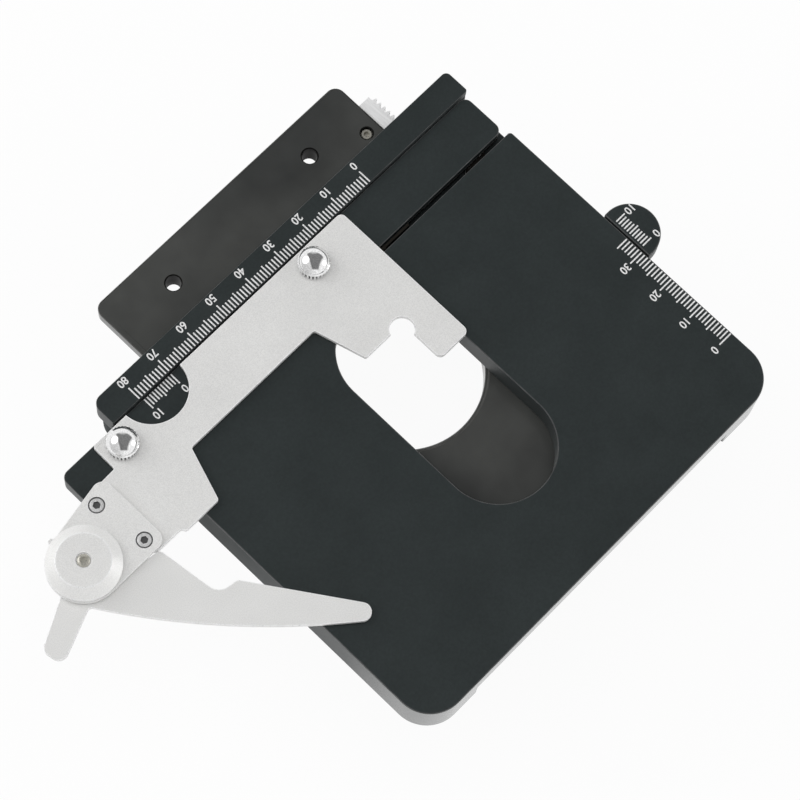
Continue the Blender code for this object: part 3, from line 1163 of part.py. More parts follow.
def finger_outline():
    """The arm, the hub with its nub and the thumb lever, about the pivot."""
    tip = (FINGER_TIP_X, FINGER_TIP_Y, FINGER_TIP_RADIUS)
    bump = (FINGER_BUMP_X, FINGER_BUMP_Y, FINGER_BUMP_RADIUS)
    notch = (FINGER_NOTCH_X, FINGER_NOTCH_Y, FINGER_NOTCH_RADIUS)
    shoulder = (FINGER_SHOULDER_X, FINGER_SHOULDER_Y, FINGER_SHOULDER_RADIUS)
    heel = (FINGER_HEEL_X, FINGER_HEEL_Y, FINGER_HEEL_RADIUS)
    corners = [bump, notch, shoulder, heel]
    nub = FINGER_HUB_RADIUS + NUB_HEIGHT
    hub = arc((0.0, 0.0), FINGER_HUB_RADIUS, HUB_ARC_START, NUB_START, 14)
    hub += arc((0.0, 0.0), nub, NUB_TOP_START, NUB_TOP_END, 2)
    hub += arc((0.0, 0.0), FINGER_HUB_RADIUS, NUB_END, LEVER_ROOT_ANGLE, 10)
    corners += [(x, y, 0.0) for x, y in hub]
    corners += [(LEVER_END_UPPER_X, LEVER_END_UPPER_Y, LEVER_END_RADIUS)]
    corners += [(LEVER_END_LOWER_X, LEVER_END_LOWER_Y, LEVER_END_RADIUS)]
    corners += [(LEVER_HEEL_X, LEVER_HEEL_Y, LEVER_HEEL_RADIUS)]
    bow = bowed((LEVER_HEEL_X, LEVER_HEEL_Y), (FINGER_TIP_X, FINGER_TIP_Y), FINGER_BOW, FINGER_BOW_POINTS)
    corners += [(x, y, 0.0) for x, y in bow]
    corners.append(tip)
    return rounded(corners)


def finger_group(pivot):
    shape = edged_slab(finger_outline(), FINGER_BOTTOM, FINGER_TOP, REST_GAP / 2.0)
    finger = add_object("finger", shape, pivot, satin_steel)
    slack = RUN_GAP
    low = FINGER_BOTTOM - OVERRUN
    profile = [(0.0, low), (PIN_HEAD_RADIUS + slack, low), (PIN_HEAD_RADIUS + slack, FINGER_BOTTOM + PIN_HEAD / 2.0)]
    profile += [(PIN_RADIUS + slack, FINGER_BOTTOM + PIN_HEAD + slack), (PIN_RADIUS + slack, FINGER_TOP + OVERRUN)]
    profile.append((0.0, FINGER_TOP + OVERRUN))
    cutter(finger, revolved(profile, 24))
    pin_top = CAVITY_TOP - REST_GAP
    profile = [(0.0, FINGER_BOTTOM), (PIN_HEAD_RADIUS, FINGER_BOTTOM), (PIN_HEAD_RADIUS, FINGER_BOTTOM + PIN_HEAD / 2.0)]
    profile += [(PIN_RADIUS, FINGER_BOTTOM + PIN_HEAD), (PIN_RADIUS, FINGER_TOP), (PIN_NECK_RADIUS, FINGER_TOP)]
    profile += [(PIN_NECK_RADIUS, pin_top), (0.0, pin_top)]
    pin = turned("pivot_pin", profile, pivot, dull_steel)
    bore(pin, 0.0, 0.0, CAP_SCREW_RADIUS + RUN_GAP, pin_top - CAP_SCREW_LENGTH, pin_top + OVERRUN)
    profile = [(CAP_SCREW_RADIUS + RUN_GAP, CAVITY_TOP), (CAP_CAVITY_RADIUS, CAVITY_TOP)]
    profile += [(CAP_CAVITY_RADIUS, CAP_BOTTOM), (CAP_RADIUS, CAP_BOTTOM), (CAP_RADIUS, CAP_BOTTOM + CAP_BAND)]
    profile += [(CAP_FLAT_RADIUS, CAP_TOP), (CAP_RECESS_RADIUS, CAP_TOP)]
    profile += [(CAP_RECESS_RADIUS, CAP_TOP - CAP_RECESS_DEPTH), (CAP_SCREW_RADIUS + RUN_GAP, CAP_TOP - CAP_RECESS_DEPTH)]
    turned("spring_cap", profile, pivot, satin_steel, closed=True)
    head = CAP_TOP - CAP_RECESS_DEPTH + RUN_GAP
    profile = [(0.0, head - CAP_SCREW_LENGTH), (CAP_SCREW_RADIUS, head - CAP_SCREW_LENGTH), (CAP_SCREW_RADIUS, head)]
    profile += [(CAP_SCREW_HEAD_RADIUS, head), (CAP_SCREW_HEAD_RADIUS, CAP_TOP), (0.0, CAP_TOP)]
    screw = turned("cap_screw", profile, pivot, dull_steel)
    hex_socket(screw, 0.0, 0.0, CAP_SCREW_RADIUS, CAP_TOP - CAP_RECESS_DEPTH / 2.0, CAP_TOP + OVERRUN)


# Coaxial drive

def knob(name, radius, bottom, top, seat_radius, axis):
    """A fluted knob with a plain neck that takes its set screw."""
    neck = top - KNOB_NECK
    profile = [(0.0, bottom), (radius - KNOB_BEVEL, bottom), (radius, bottom + KNOB_BEVEL)]
    profile += [(radius, neck - KNOB_BEVEL), (radius - KNOB_BEVEL, neck), (radius * KNOB_NECK_SHARE, neck)]
    profile += [(radius * KNOB_NECK_SHARE, top), (0.0, top)]
    shape = revolved(profile, 2 * KNOB_FLUTES, flute_depth=KNOB_FLUTE_DEPTH, fluted=(2, 3))
    bmesh.ops.triangulate(shape, faces=shape.faces)
    made = add_object(name, shape, axis, black_coat, math.radians(35.0))
    bore(made, 0.0, 0.0, seat_radius + RUN_GAP, bottom - OVERRUN, top + OVERRUN)
    height = top - KNOB_NECK / 2.0
    start = seat_radius + RUN_GAP
    hole = side_screw_shape([(KNOB_SCREW_RADIUS + RUN_GAP, 0.0), (KNOB_SCREW_RADIUS + RUN_GAP, radius)])
    cutter(made, placed(hole, (0.0, 0.0, height)))
    end = min(start + KNOB_SCREW_LENGTH, radius * KNOB_NECK_SHARE)
    steps = [(KNOB_SCREW_RADIUS, start), (KNOB_SCREW_RADIUS, end)]
    screw = add_object(name + "_screw", side_screw_shape(steps), axis, dull_steel, math.radians(35.0))
    screw.location = (0.0, 0.0, height)
    return made


def x_drive(axis):
    pinion("x_pinion", X_RACK_BOTTOM, X_RACK_TOP, X_SHAFT_RADIUS, math.pi / 2.0, axis)
    profile = [(0.0, X_SHAFT_BOTTOM), (X_SHAFT_RADIUS, X_SHAFT_BOTTOM), (X_SHAFT_RADIUS, X_RACK_TOP), (0.0, X_RACK_TOP)]
    turned("x_shaft", profile, axis, dull_steel)
    knob("x_knob", X_KNOB_RADIUS, X_KNOB_BOTTOM, X_KNOB_TOP, X_SHAFT_RADIUS, axis)
    inner = X_SHAFT_RADIUS + RUN_GAP
    profile = [(inner, WASHER_BOTTOM), (WASHER_RADIUS, WASHER_BOTTOM), (WASHER_RADIUS, WASHER_TOP), (inner, WASHER_TOP)]
    turned("knob_washer", profile, axis, nylon, closed=True)


def y_drive(axis):
    pinion("y_pinion", Y_PINION_BOTTOM, Y_PINION_TOP, SLEEVE_SEAT_RADIUS, math.pi, axis)
    inner = X_SHAFT_RADIUS + RUN_GAP
    profile = [(inner, SLEEVE_TOP), (inner, SLEEVE_BOTTOM), (SLEEVE_END_RADIUS, SLEEVE_BOTTOM)]
    profile += [(SLEEVE_END_RADIUS, SLEEVE_NECK), (SLEEVE_RADIUS, SLEEVE_NECK), (SLEEVE_RADIUS, SLEEVE_SHOULDER)]
    profile += [(SLEEVE_SEAT_RADIUS, SLEEVE_SHOULDER), (SLEEVE_SEAT_RADIUS, SLEEVE_TOP)]
    turned("y_sleeve", profile, axis, dull_steel, closed=True)
    knob("y_knob", Y_KNOB_RADIUS, Y_KNOB_BOTTOM, Y_KNOB_TOP, SLEEVE_END_RADIUS, axis)


def build():
    optical_axis = (0.0, -HOLE_LINE, STAGE_TOP)
    fixed = empty("fixed_layer", optical_axis)
    moving = empty("y_slide_layer", (0.0, 0.0, 0.0), fixed)
    carried = empty("x_slide_carriage", (0.0, 0.0, 0.0), moving)
    lower_layer(fixed)
    y_cage(-1.0, "left", fixed)
    y_cage(1.0, "right", fixed)
    upper_layer(moving)
    x_cage(moving)
    carriage(carried)
    finger_group(empty("finger_pivot", (PIVOT_X, PIVOT_Y, 0.0), carried))
    x_drive(empty("x_drive_axis", (COLUMN_X, COLUMN_Y, 0.0), moving))
    y_drive(empty("y_drive_axis", (COLUMN_X, COLUMN_Y, 0.0), moving))


build()
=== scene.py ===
import bpy
import json
import math
from mathutils import Euler, Matrix, Vector


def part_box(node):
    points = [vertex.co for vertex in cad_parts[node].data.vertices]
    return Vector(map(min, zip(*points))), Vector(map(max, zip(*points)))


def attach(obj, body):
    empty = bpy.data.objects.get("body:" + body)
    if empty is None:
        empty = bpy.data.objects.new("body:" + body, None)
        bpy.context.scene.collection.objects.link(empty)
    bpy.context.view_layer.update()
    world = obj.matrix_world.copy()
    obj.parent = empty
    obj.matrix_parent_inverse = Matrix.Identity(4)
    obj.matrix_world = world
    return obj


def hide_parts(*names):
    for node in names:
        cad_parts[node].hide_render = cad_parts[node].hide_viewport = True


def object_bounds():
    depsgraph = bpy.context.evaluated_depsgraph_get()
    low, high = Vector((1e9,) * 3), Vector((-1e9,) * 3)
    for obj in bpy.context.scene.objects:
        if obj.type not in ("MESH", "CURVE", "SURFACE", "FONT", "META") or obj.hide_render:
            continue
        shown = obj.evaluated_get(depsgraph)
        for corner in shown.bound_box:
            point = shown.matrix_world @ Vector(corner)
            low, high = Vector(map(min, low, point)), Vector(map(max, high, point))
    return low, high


# Mechanical microscope stage: a lower plate with a mounting tongue, a stage plate that slides on it,
# a carriage bar with the slide holder and its finger, and a coaxial drive column underneath.

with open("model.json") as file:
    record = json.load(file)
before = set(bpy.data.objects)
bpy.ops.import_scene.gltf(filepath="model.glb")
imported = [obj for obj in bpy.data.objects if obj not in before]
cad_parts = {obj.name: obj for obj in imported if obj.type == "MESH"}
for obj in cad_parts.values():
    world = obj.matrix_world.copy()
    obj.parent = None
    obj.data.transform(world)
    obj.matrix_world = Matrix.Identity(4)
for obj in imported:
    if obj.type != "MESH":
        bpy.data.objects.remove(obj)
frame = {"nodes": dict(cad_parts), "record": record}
cadLow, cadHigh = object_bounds()
print("frame loaded,", len(frame["nodes"]), "nodes")

mm = 0.001
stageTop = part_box("stage_plate")[1].z       # heights below are from here
axisY = -0.056                              # the light hole's axis; lengths across are from it
full = 2.0 * math.pi
half = math.pi / 2.0
plain = (1.0, 1.0, 1.0)
past = 1.0                                  # how far a cutting tool runs out past the work
hair = 0.01                                 # places closer than this count as the same
facets = {"light": 128, "dial": 96, "hole": 64, "head": 48, "small": 40, "bolt": 32, "tapped": 24, "hex": 6}

# Settings of the shop tools, in millimetres and degrees
shop = {"weld": 0.002, "level": 0.4, "square": 0.99, "boreWall": 0.97, "arcPoints": 4, "arcFineness": 3.0,
        "fluteReach": 0.9, "shareSlack": 0.001, "edgeSteps": 2, "edgeAngle": 32.0, "smooth": 34.0,
        "weight": 80}


# Shop tools: small steps that every piece is made with

def spot(x, y, z=0.0):
    return Vector((x * mm, axisY + y * mm, stageTop + z * mm))


def step(x, y, z=0.0):
    return {"value": (x * mm, y * mm, z * mm)}


def holdOnly(piece):
    bpy.ops.object.select_all(action="DESELECT")
    piece.select_set(True)
    bpy.context.view_layer.objects.active = piece


def settle(piece):                          # the object at the origin, its place in its mesh
    holdOnly(piece)
    bpy.ops.object.transform_apply(location=True, rotation=True, scale=True)
    return piece


def pick(piece, kind, test):                # leaves edit mode on, with what passes the test selected
    holdOnly(piece)
    bpy.ops.object.mode_set(mode="EDIT")
    bpy.ops.mesh.select_mode(type=kind)
    bpy.ops.mesh.select_all(action="DESELECT")
    bpy.ops.object.mode_set(mode="OBJECT")
    for part in {"VERT": piece.data.vertices, "EDGE": piece.data.edges, "FACE": piece.data.polygons}[kind]:
        part.select = test(part)
    bpy.ops.object.mode_set(mode="EDIT")


def closeUp(piece):                         # doubles merged, then faces turned outwards
    holdOnly(piece)
    bpy.ops.object.mode_set(mode="EDIT")
    bpy.ops.mesh.select_all(action="SELECT")
    bpy.ops.mesh.remove_doubles(threshold=shop["weld"] * mm)
    bpy.ops.mesh.normals_make_consistent(inside=False)
    bpy.ops.object.mode_set(mode="OBJECT")
    return piece


def startLine(name, place):                 # one vertex, in edit mode, to draw a line from
    bpy.ops.object.select_all(action="DESELECT")
    bpy.ops.mesh.primitive_plane_add(size=mm, location=place)
    piece = bpy.context.object
    piece.name = name
    bpy.ops.object.mode_set(mode="EDIT")
    bpy.ops.mesh.select_mode(type="VERT")
    bpy.ops.mesh.select_all(action="SELECT")
    bpy.ops.mesh.merge(type="CENTER")
    return piece


def drawOutline(name, corners, z):          # corners are (x, y) or (x, y, fillet radius)
    line = []
    for index, corner in enumerate(corners):
        line += fillet(corners[index - 1], corner, corners[(index + 1) % len(corners)])
    piece = startLine(name, spot(line[0][0], line[0][1], z))
    for here, there in zip(line, line[1:]):
        move = step(there[0] - here[0], there[1] - here[1])
        bpy.ops.mesh.extrude_vertices_move(TRANSFORM_OT_translate=move)
    bpy.ops.mesh.select_all(action="SELECT")
    bpy.ops.mesh.edge_face_add()
    bpy.ops.object.mode_set(mode="OBJECT")
    return settle(piece)


def fillet(before, corner, after):          # the points round a corner, or the corner itself
    here = Vector(corner[:2])
    if len(corner) < 3:
        return [tuple(here)]
    back = (Vector(before[:2]) - here).normalized()
    ahead = (Vector(after[:2]) - here).normalized()
    opening = back.angle(ahead)
    centre = here + (back + ahead).normalized() * corner[2] / math.sin(opening / 2.0)
    reach = corner[2] / math.tan(opening / 2.0)
    first = here + back * reach - centre
    last = here + ahead * reach - centre
    turn = math.atan2(first.x * last.y - first.y * last.x, first.dot(last))
    count = shop["arcPoints"] + int(abs(turn) * shop["arcFineness"] * math.sqrt(corner[2]))
    return [tuple(centre + Matrix.Rotation(turn * number / count, 2) @ first) for number in range(count + 1)]


def arcCorners(x, y, radius, start, end, count):
    turns = [math.radians(start + (end - start) * number / count) for number in range(count + 1)]
    return [(x + radius * math.cos(turn), y + radius * math.sin(turn)) for turn in turns]


def boxCorners(left, right, front, back, *radii):  # from the front left, round to the back left
    places = ((left, front), (right, front), (right, back), (left, back))
    return [(*place, radius) if radius else place for place, radius in zip(places, radii)]


def roundOver(radius, top, steps):          # the rim of a lathe profile, in steps of (inwards, down)
    return [(radius - inwards, top - down) for inwards, down in steps]


def thicken(piece, depth):                  # the drawn face becomes the top of a plate
    holdOnly(piece)
    bpy.ops.object.mode_set(mode="EDIT")
    bpy.ops.mesh.select_all(action="SELECT")
    bpy.ops.mesh.extrude_region_move(TRANSFORM_OT_translate=step(0.0, 0.0, -depth))
    bpy.ops.object.mode_set(mode="OBJECT")
    return closeUp(piece)


def plateFrom(name, corners, top, bottom):
    return thicken(drawOutline(name, corners, top), top - bottom)


def combine(piece, tool, how):
    holdOnly(piece)
    cut = piece.modifiers.new("tool", "BOOLEAN")
    cut.operation = how
    cut.solver = "EXACT"
    cut.object = tool
    bpy.ops.object.modifier_apply(modifier=cut.name)
    bpy.data.objects.remove(tool)


def mill(piece, left, right, front, back, low, high):               # a box-shaped cut
    bpy.ops.object.select_all(action="DESELECT")
    middle = spot((left + right) / 2.0, (front + back) / 2.0, (low + high) / 2.0)
    size = ((right - left) * mm, (back - front) * mm, (high - low) * mm)
    bpy.ops.mesh.primitive_cube_add(size=1.0, location=middle, scale=size)
    combine(piece, settle(bpy.context.object), "DIFFERENCE")


def rod(x, y, radius, low, high, sides):    # an upright cylinder
    bpy.ops.object.select_all(action="DESELECT")
    middle = spot(x, y, (low + high) / 2.0)
    bpy.ops.mesh.primitive_cylinder_add(vertices=sides, radius=radius * mm, depth=(high - low) * mm,
                                        location=middle)
    return settle(bpy.context.object)


def rodAcross(left, right, y, z, radius, sides):
    bpy.ops.object.select_all(action="DESELECT")
    middle = spot((left + right) / 2.0, y, z)
    bpy.ops.mesh.primitive_cylinder_add(vertices=sides, radius=radius * mm, depth=(right - left) * mm,
                                        location=middle, rotation=(0.0, half, 0.0))
    return settle(bpy.context.object)


def drill(piece, x, y, radius, low, high, sides=facets["hole"]):
    combine(piece, rod(x, y, radius, low, high, sides), "DIFFERENCE")


def sink(piece, x, y, lowRadius, highRadius, low, high, sides):     # a conical cut
    bpy.ops.object.select_all(action="DESELECT")
    middle = spot(x, y, (low + high) / 2.0)
    bpy.ops.mesh.primitive_cone_add(vertices=sides, radius1=lowRadius * mm, radius2=highRadius * mm,
                                    depth=(high - low) * mm, location=middle)
    combine(piece, settle(bpy.context.object), "DIFFERENCE")


def diamondAlong(left, right, y, z, reach): # a square bar on its edge, for V grooves and the V ridge
    return rodAcross(left, right, y, z, reach, 4)


def cutGroove(piece, left, right, y, z, depth):
    combine(piece, diamondAlong(left, right, y, z, 2.0 * depth), "DIFFERENCE")


def turnOnLathe(name, profile, x, y, sides):    # (radius, height) pairs, open at the axis or a loop
    piece = startLine(name, spot(x + profile[0][0], y, profile[0][1]))
    for here, there in zip(profile, profile[1:]):
        move = step(there[0] - here[0], 0.0, there[1] - here[1])
        bpy.ops.mesh.extrude_vertices_move(TRANSFORM_OT_translate=move)
    bpy.ops.mesh.select_all(action="SELECT")
    bpy.ops.mesh.spin(steps=sides, angle=full, center=spot(x, y), axis=(0.0, 0.0, 1.0))
    bpy.ops.object.mode_set(mode="OBJECT")
    settle(piece)
    return closeUp(piece)


def fluteBand(piece, x, y, low, high, count, depth, radius, share):     # presses in a share of each pitch
    axis = spot(x, y)
    pitch = full / count

    def inFlute(vertex):
        away = Vector((vertex.co.x - axis.x, vertex.co.y - axis.y))
        height = (vertex.co.z - stageTop) / mm
        level = low - hair <= height <= high + hair
        outside = away.length > (radius - shop["fluteReach"]) * mm
        return level and outside and (math.atan2(away.y, away.x) % pitch) / pitch < share - shop["shareSlack"]

    pick(piece, "VERT", inFlute)
    squeeze = (radius - depth) / radius
    bpy.ops.transform.resize(value=(squeeze, squeeze, 1.0), center_override=axis)
    bpy.ops.object.mode_set(mode="OBJECT")


def tidyFaces(piece):                       # flat faces that a cut has split are joined again
    holdOnly(piece)
    bpy.ops.object.mode_set(mode="EDIT")
    bpy.ops.mesh.select_all(action="SELECT")
    bpy.ops.mesh.remove_doubles(threshold=shop["weld"] * mm)
    bpy.ops.mesh.dissolve_limited(angle_limit=math.radians(shop["level"]))
    bpy.ops.object.mode_set(mode="OBJECT")


def recoat(piece, slotNumber, test):        # faces that pass the test take another of the piece's finishes
    pick(piece, "FACE", test)
    piece.active_material_index = slotNumber
    bpy.ops.object.material_slot_assign()
    bpy.ops.object.mode_set(mode="OBJECT")


# the faces inside a bore take a darker finish: painted shade in holes, seats and sockets
def darkenBore(piece, x, y, radius, slotNumber, ceiling=past, withFloor=False):
    axis = spot(x, y, ceiling)

    def inBore(face):
        away = Vector((face.center.x - axis.x, face.center.y - axis.y))
        inside = away.length < radius * mm and face.center.z < axis.z
        return inside and (withFloor or abs(face.normal.z) < shop["boreWall"])

    recoat(piece, slotNumber, inBore)


def breakEdges(piece, width, angle=shop["edgeAngle"]):     # the chamfer shows the piece's second finish, a lighter painted edge highlight
    tidyFaces(piece)
    edge = piece.modifiers.new("edge", "BEVEL")
    edge.width = width * mm
    edge.segments = shop["edgeSteps"]
    edge.limit_method = "ANGLE"
    edge.angle_limit = math.radians(angle)
    edge.use_clamp_overlap = False
    edge.material = 1
    bpy.ops.object.modifier_apply(modifier=edge.name)
    shadeWell(piece)


def shadeWell(piece, angle=shop["smooth"]):
    holdOnly(piece)
    bpy.ops.object.shade_smooth_by_angle(angle=math.radians(angle))
    weight = piece.modifiers.new("weight", "WEIGHTED_NORMAL")
    weight.keep_sharp = True
    weight.weight = shop["weight"]
    bpy.ops.object.modifier_apply(modifier=weight.name)


def dress(piece, coat, rim=None):
    piece.data.materials.clear()
    piece.data.materials.append(coat)
    if rim:
        piece.data.materials.append(rim)


def mount(piece, body, node):         # the piece rides on its body and stands for its node
    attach(piece, body)
    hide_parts(node)


# Finishes

def startFinish(name):
    made = bpy.data.materials.new(name)
    made.use_nodes = True
    return made, made.node_tree, made.node_tree.nodes["Principled BSDF"]


def grain(tree, scale, detail, stretch=plain):     # each look gives its grains as (scale, detail)
    place = tree.nodes.new("ShaderNodeTexCoord")
    turn = tree.nodes.new("ShaderNodeMapping")
    turn.inputs["Scale"].default_value = stretch
    noise = tree.nodes.new("ShaderNodeTexNoise")
    noise.inputs["Scale"].default_value = scale
    noise.inputs["Detail"].default_value = detail
    tree.links.new(place.outputs["Object"], turn.inputs["Vector"])
    tree.links.new(turn.outputs["Vector"], noise.inputs["Vector"])
    return noise.outputs["Fac"]


def ramp(tree, value, places, colours):
    band = tree.nodes.new("ShaderNodeValToRGB")
    while len(band.color_ramp.elements) < len(places):
        band.color_ramp.elements.new(0.5)
    for element, place, colour in zip(band.color_ramp.elements, places, colours):
        element.position = place
        element.color = (*colour, 1.0)
    tree.links.new(value, band.inputs["Fac"])
    return band.outputs["Color"]


def tone(tree, share, first, second):       # the second colour multiplies the first by its share
    mixed = tree.nodes.new("ShaderNodeMix")
    mixed.data_type = "RGBA"
    mixed.blend_type = "MULTIPLY"
    mixed.inputs["Factor"].default_value = share
    tree.links.new(first, mixed.inputs[6])  # the node's colour sockets are 6, 7 and 2
    tree.links.new(second, mixed.inputs[7])
    return mixed.outputs[2]


def spread(tree, value, low, high, fromLow=0.3, fromHigh=0.7):
    band = tree.nodes.new("ShaderNodeMapRange")
    band.inputs["From Min"].default_value = fromLow
    band.inputs["From Max"].default_value = fromHigh
    band.inputs["To Min"].default_value = low
    band.inputs["To Max"].default_value = high
    tree.links.new(value, band.inputs["Value"])
    return band.outputs["Result"]


def workOut(tree, how, first, second):      # one sum; either side is a number or another node's answer
    answer = tree.nodes.new("ShaderNodeMath")
    answer.operation = how
    for place, value in enumerate((first, second)):
        if isinstance(value, float):
            answer.inputs[place].default_value = value
        else:
            tree.links.new(value, answer.inputs[place])
    return answer.outputs["Value"]


def alongAxis(tree, direction, axis):
    dot = tree.nodes.new("ShaderNodeVectorMath")
    dot.operation = "DOT_PRODUCT"
    dot.inputs[1].default_value = axis
    tree.links.new(direction, dot.inputs[0])
    return dot.outputs["Value"]


def roughen(tree, value, shader, height):
    bump = tree.nodes.new("ShaderNodeBump")
    bump.inputs["Distance"].default_value = height * mm
    bump.inputs["Strength"].default_value = 1.0
    tree.links.new(value, bump.inputs["Height"])
    tree.links.new(bump.outputs["Normal"], shader.inputs["Normal"])


def grey(level, tint=plain):
    return tuple(level * part for part in tint)


coatLook = {"dark": 0.0255, "light": 0.0292, "tint": (0.82, 1.04, 1.06), "gloss": (0.42, 0.52),
            "specular": 0.26, "sheen": 0.25, "sheenRoughness": 0.22,
            "mottle": (70.0, 3.0), "mottleBand": (0.34, 0.66), "peel": (1400.0, 2.0), "peelHeight": 0.012,
            "fleck": (0.86, 1.14), "fleckBand": (0.30, 0.70), "fleckShare": 0.6}


def blackCoat(name):
    made, tree, shader = startFinish(name)
    cloud = grain(tree, *coatLook["mottle"])
    fine = grain(tree, *coatLook["peel"])
    dark = grey(coatLook["dark"], coatLook["tint"])
    light = grey(coatLook["light"], coatLook["tint"])
    colour = ramp(tree, cloud, coatLook["mottleBand"], (dark, light))
    fleck = ramp(tree, fine, coatLook["fleckBand"], map(grey, coatLook["fleck"]))
    tree.links.new(tone(tree, coatLook["fleckShare"], colour, fleck), shader.inputs["Base Color"])
    tree.links.new(spread(tree, cloud, *coatLook["gloss"]), shader.inputs["Roughness"])
    shader.inputs["Specular IOR Level"].default_value = coatLook["specular"]
    shader.inputs["Sheen Weight"].default_value = coatLook["sheen"]
    shader.inputs["Sheen Roughness"].default_value = coatLook["sheenRoughness"]
    roughen(tree, fine, shader, coatLook["peelHeight"])
    return made


# coat layer of the outer walls, from none at the slot's axis to full at the front: a painted reflection
wallLook = {"reflectionFrom": 0.0, "reflectionTo": -66.0, "places": (0.0, 0.62, 1.0), "levels": (0.0, 0.26, 1.0),
            "roughness": 0.16, "index": 2.4, "specular": 0.04}


def polishedWall(name):                     # the same coat with a painted reflection: its coat layer grows towards the front, so the walls shine brighter there
    made = blackCoat(name)
    tree = made.node_tree
    shader = tree.nodes["Principled BSDF"]
    place = tree.nodes.new("ShaderNodeTexCoord")
    parts = tree.nodes.new("ShaderNodeSeparateXYZ")
    tree.links.new(place.outputs["Object"], parts.inputs["Vector"])
    start = axisY + wallLook["reflectionFrom"] * mm
    end = axisY + wallLook["reflectionTo"] * mm
    share = spread(tree, parts.outputs["Y"], 0.0, 1.0, start, end)
    paintedReflection = ramp(tree, share, wallLook["places"], map(grey, wallLook["levels"]))
    tree.links.new(paintedReflection, shader.inputs["Coat Weight"])
    shader.inputs["Coat Roughness"].default_value = wallLook["roughness"]
    shader.inputs["Coat IOR"].default_value = wallLook["index"]
    shader.inputs["Specular IOR Level"].default_value = wallLook["specular"]
    shader.inputs["Sheen Weight"].default_value = 0.0
    return made


glossLook = {"dark": (0.042, 0.044, 0.043), "light": (0.064, 0.066, 0.063), "gloss": (0.13, 0.22),
             "specular": 0.34, "cloud": (27.0, 0.5), "cloudBand": (0.34, 0.46), "lean": (-3.4, 0.4, 0.0),
             "flow": (160.0, 3.0), "flowTone": (0.90, 1.10), "flowBand": (0.30, 0.70), "flowShare": 0.7,
             "peel": (900.0, 1.0), "peelHeight": 0.004}


def lean(tree, value, slope):               # the value rises along a direction of the object, a painted reflection
    place = tree.nodes.new("ShaderNodeTexCoord")
    return workOut(tree, "ADD", value, alongAxis(tree, place.outputs["Object"], slope))


def greyGloss(name):
    made, tree, shader = startFinish(name)
    # the grey is lighter towards the plate's left side and darker to its right, in soft patches: painted
    # reflection
    cloud = lean(tree, grain(tree, *glossLook["cloud"]), glossLook["lean"])
    flow = grain(tree, *glossLook["flow"])
    colour = ramp(tree, cloud, glossLook["cloudBand"], (glossLook["dark"], glossLook["light"]))
    cast = ramp(tree, flow, glossLook["flowBand"], map(grey, glossLook["flowTone"]))
    tree.links.new(tone(tree, glossLook["flowShare"], colour, cast), shader.inputs["Base Color"])
    tree.links.new(spread(tree, flow, *glossLook["gloss"]), shader.inputs["Roughness"])
    shader.inputs["Specular IOR Level"].default_value = glossLook["specular"]
    roughen(tree, grain(tree, *glossLook["peel"]), shader, glossLook["peelHeight"])
    return made


edgeAndBoreLook = {"toneGrain": (260.0, 4.0), "toneGrainBand": (0.32, 0.68), "gloss": (0.46, 0.34)}


def worn(name, low, high, specular=0.5):    # a lighter edge of a coat, a painted highlight on the bevel, or the dark inside of a bore, painted shade
    made, tree, shader = startFinish(name)
    toneGrain = grain(tree, *edgeAndBoreLook["toneGrain"])
    tree.links.new(ramp(tree, toneGrain, edgeAndBoreLook["toneGrainBand"], (low, high)), shader.inputs["Base Color"])
    tree.links.new(spread(tree, toneGrain, *edgeAndBoreLook["gloss"]), shader.inputs["Roughness"])
    shader.inputs["Specular IOR Level"].default_value = specular
    return made


silverLook = {"dark": 0.79, "light": 0.955, "tint": (1.0, 0.998, 0.985), "gloss": (0.40, 0.50),
              "metallic": 0.35, "speck": (4600.0, 2.0), "speckBand": (0.28, 0.72), "cloud": (60.0, 2.0),
              "haze": (0.97, 1.02), "hazeBand": (0.30, 0.70), "height": 0.006}


def satinSilver(name):
    made, tree, shader = startFinish(name)
    speck = grain(tree, *silverLook["speck"])
    cloud = grain(tree, *silverLook["cloud"])
    dark = grey(silverLook["dark"], silverLook["tint"])
    light = grey(silverLook["light"], silverLook["tint"])
    colour = ramp(tree, speck, silverLook["speckBand"], (dark, light))
    haze = ramp(tree, cloud, silverLook["hazeBand"], map(grey, silverLook["haze"]))
    tree.links.new(tone(tree, 1.0, colour, haze), shader.inputs["Base Color"])
    tree.links.new(spread(tree, speck, *silverLook["gloss"]), shader.inputs["Roughness"])
    shader.inputs["Metallic"].default_value = silverLook["metallic"]
    roughen(tree, speck, shader, silverLook["height"])
    return made


steelLook = {"line": (2600.0, 3.0), "drawn": (0.06, 1.0, 1.0), "tones": (0.86, 1.12), "brightest": 0.98,
             "lineBand": (0.30, 0.70), "gloss": (0.85, 1.2), "height": 0.004}


def drawnSteel(name, level, roughness, tint=plain, stretch=steelLook["drawn"], metallic=1.0):
    made, tree, shader = startFinish(name)
    line = grain(tree, *steelLook["line"], stretch)
    tones = [grey(min(level * part, steelLook["brightest"]), tint) for part in steelLook["tones"]]
    tree.links.new(ramp(tree, line, steelLook["lineBand"], tones), shader.inputs["Base Color"])
    smooth, coarse = steelLook["gloss"]
    tree.links.new(spread(tree, line, roughness * smooth, roughness * coarse), shader.inputs["Roughness"])
    shader.inputs["Metallic"].default_value = metallic
    roughen(tree, line, shader, steelLook["height"])
    return made


inkLook = {"grain": (2200.0, 3.0), "thin": 0.62, "full": 0.86, "band": (0.30, 0.60), "gloss": (0.45, 0.60)}


def printInk(name):
    made, tree, shader = startFinish(name)
    film = grain(tree, *inkLook["grain"])
    tones = (grey(inkLook["thin"]), grey(inkLook["full"]))
    tree.links.new(ramp(tree, film, inkLook["band"], tones), shader.inputs["Base Color"])
    tree.links.new(spread(tree, film, *inkLook["gloss"]), shader.inputs["Roughness"])
    return made


nylonLook = {"cloud": (500.0, 3.0), "band": (0.3, 0.7), "dark": (0.70, 0.69, 0.64),
             "light": (0.80, 0.79, 0.74), "gloss": (0.42, 0.58), "glow": 0.05}


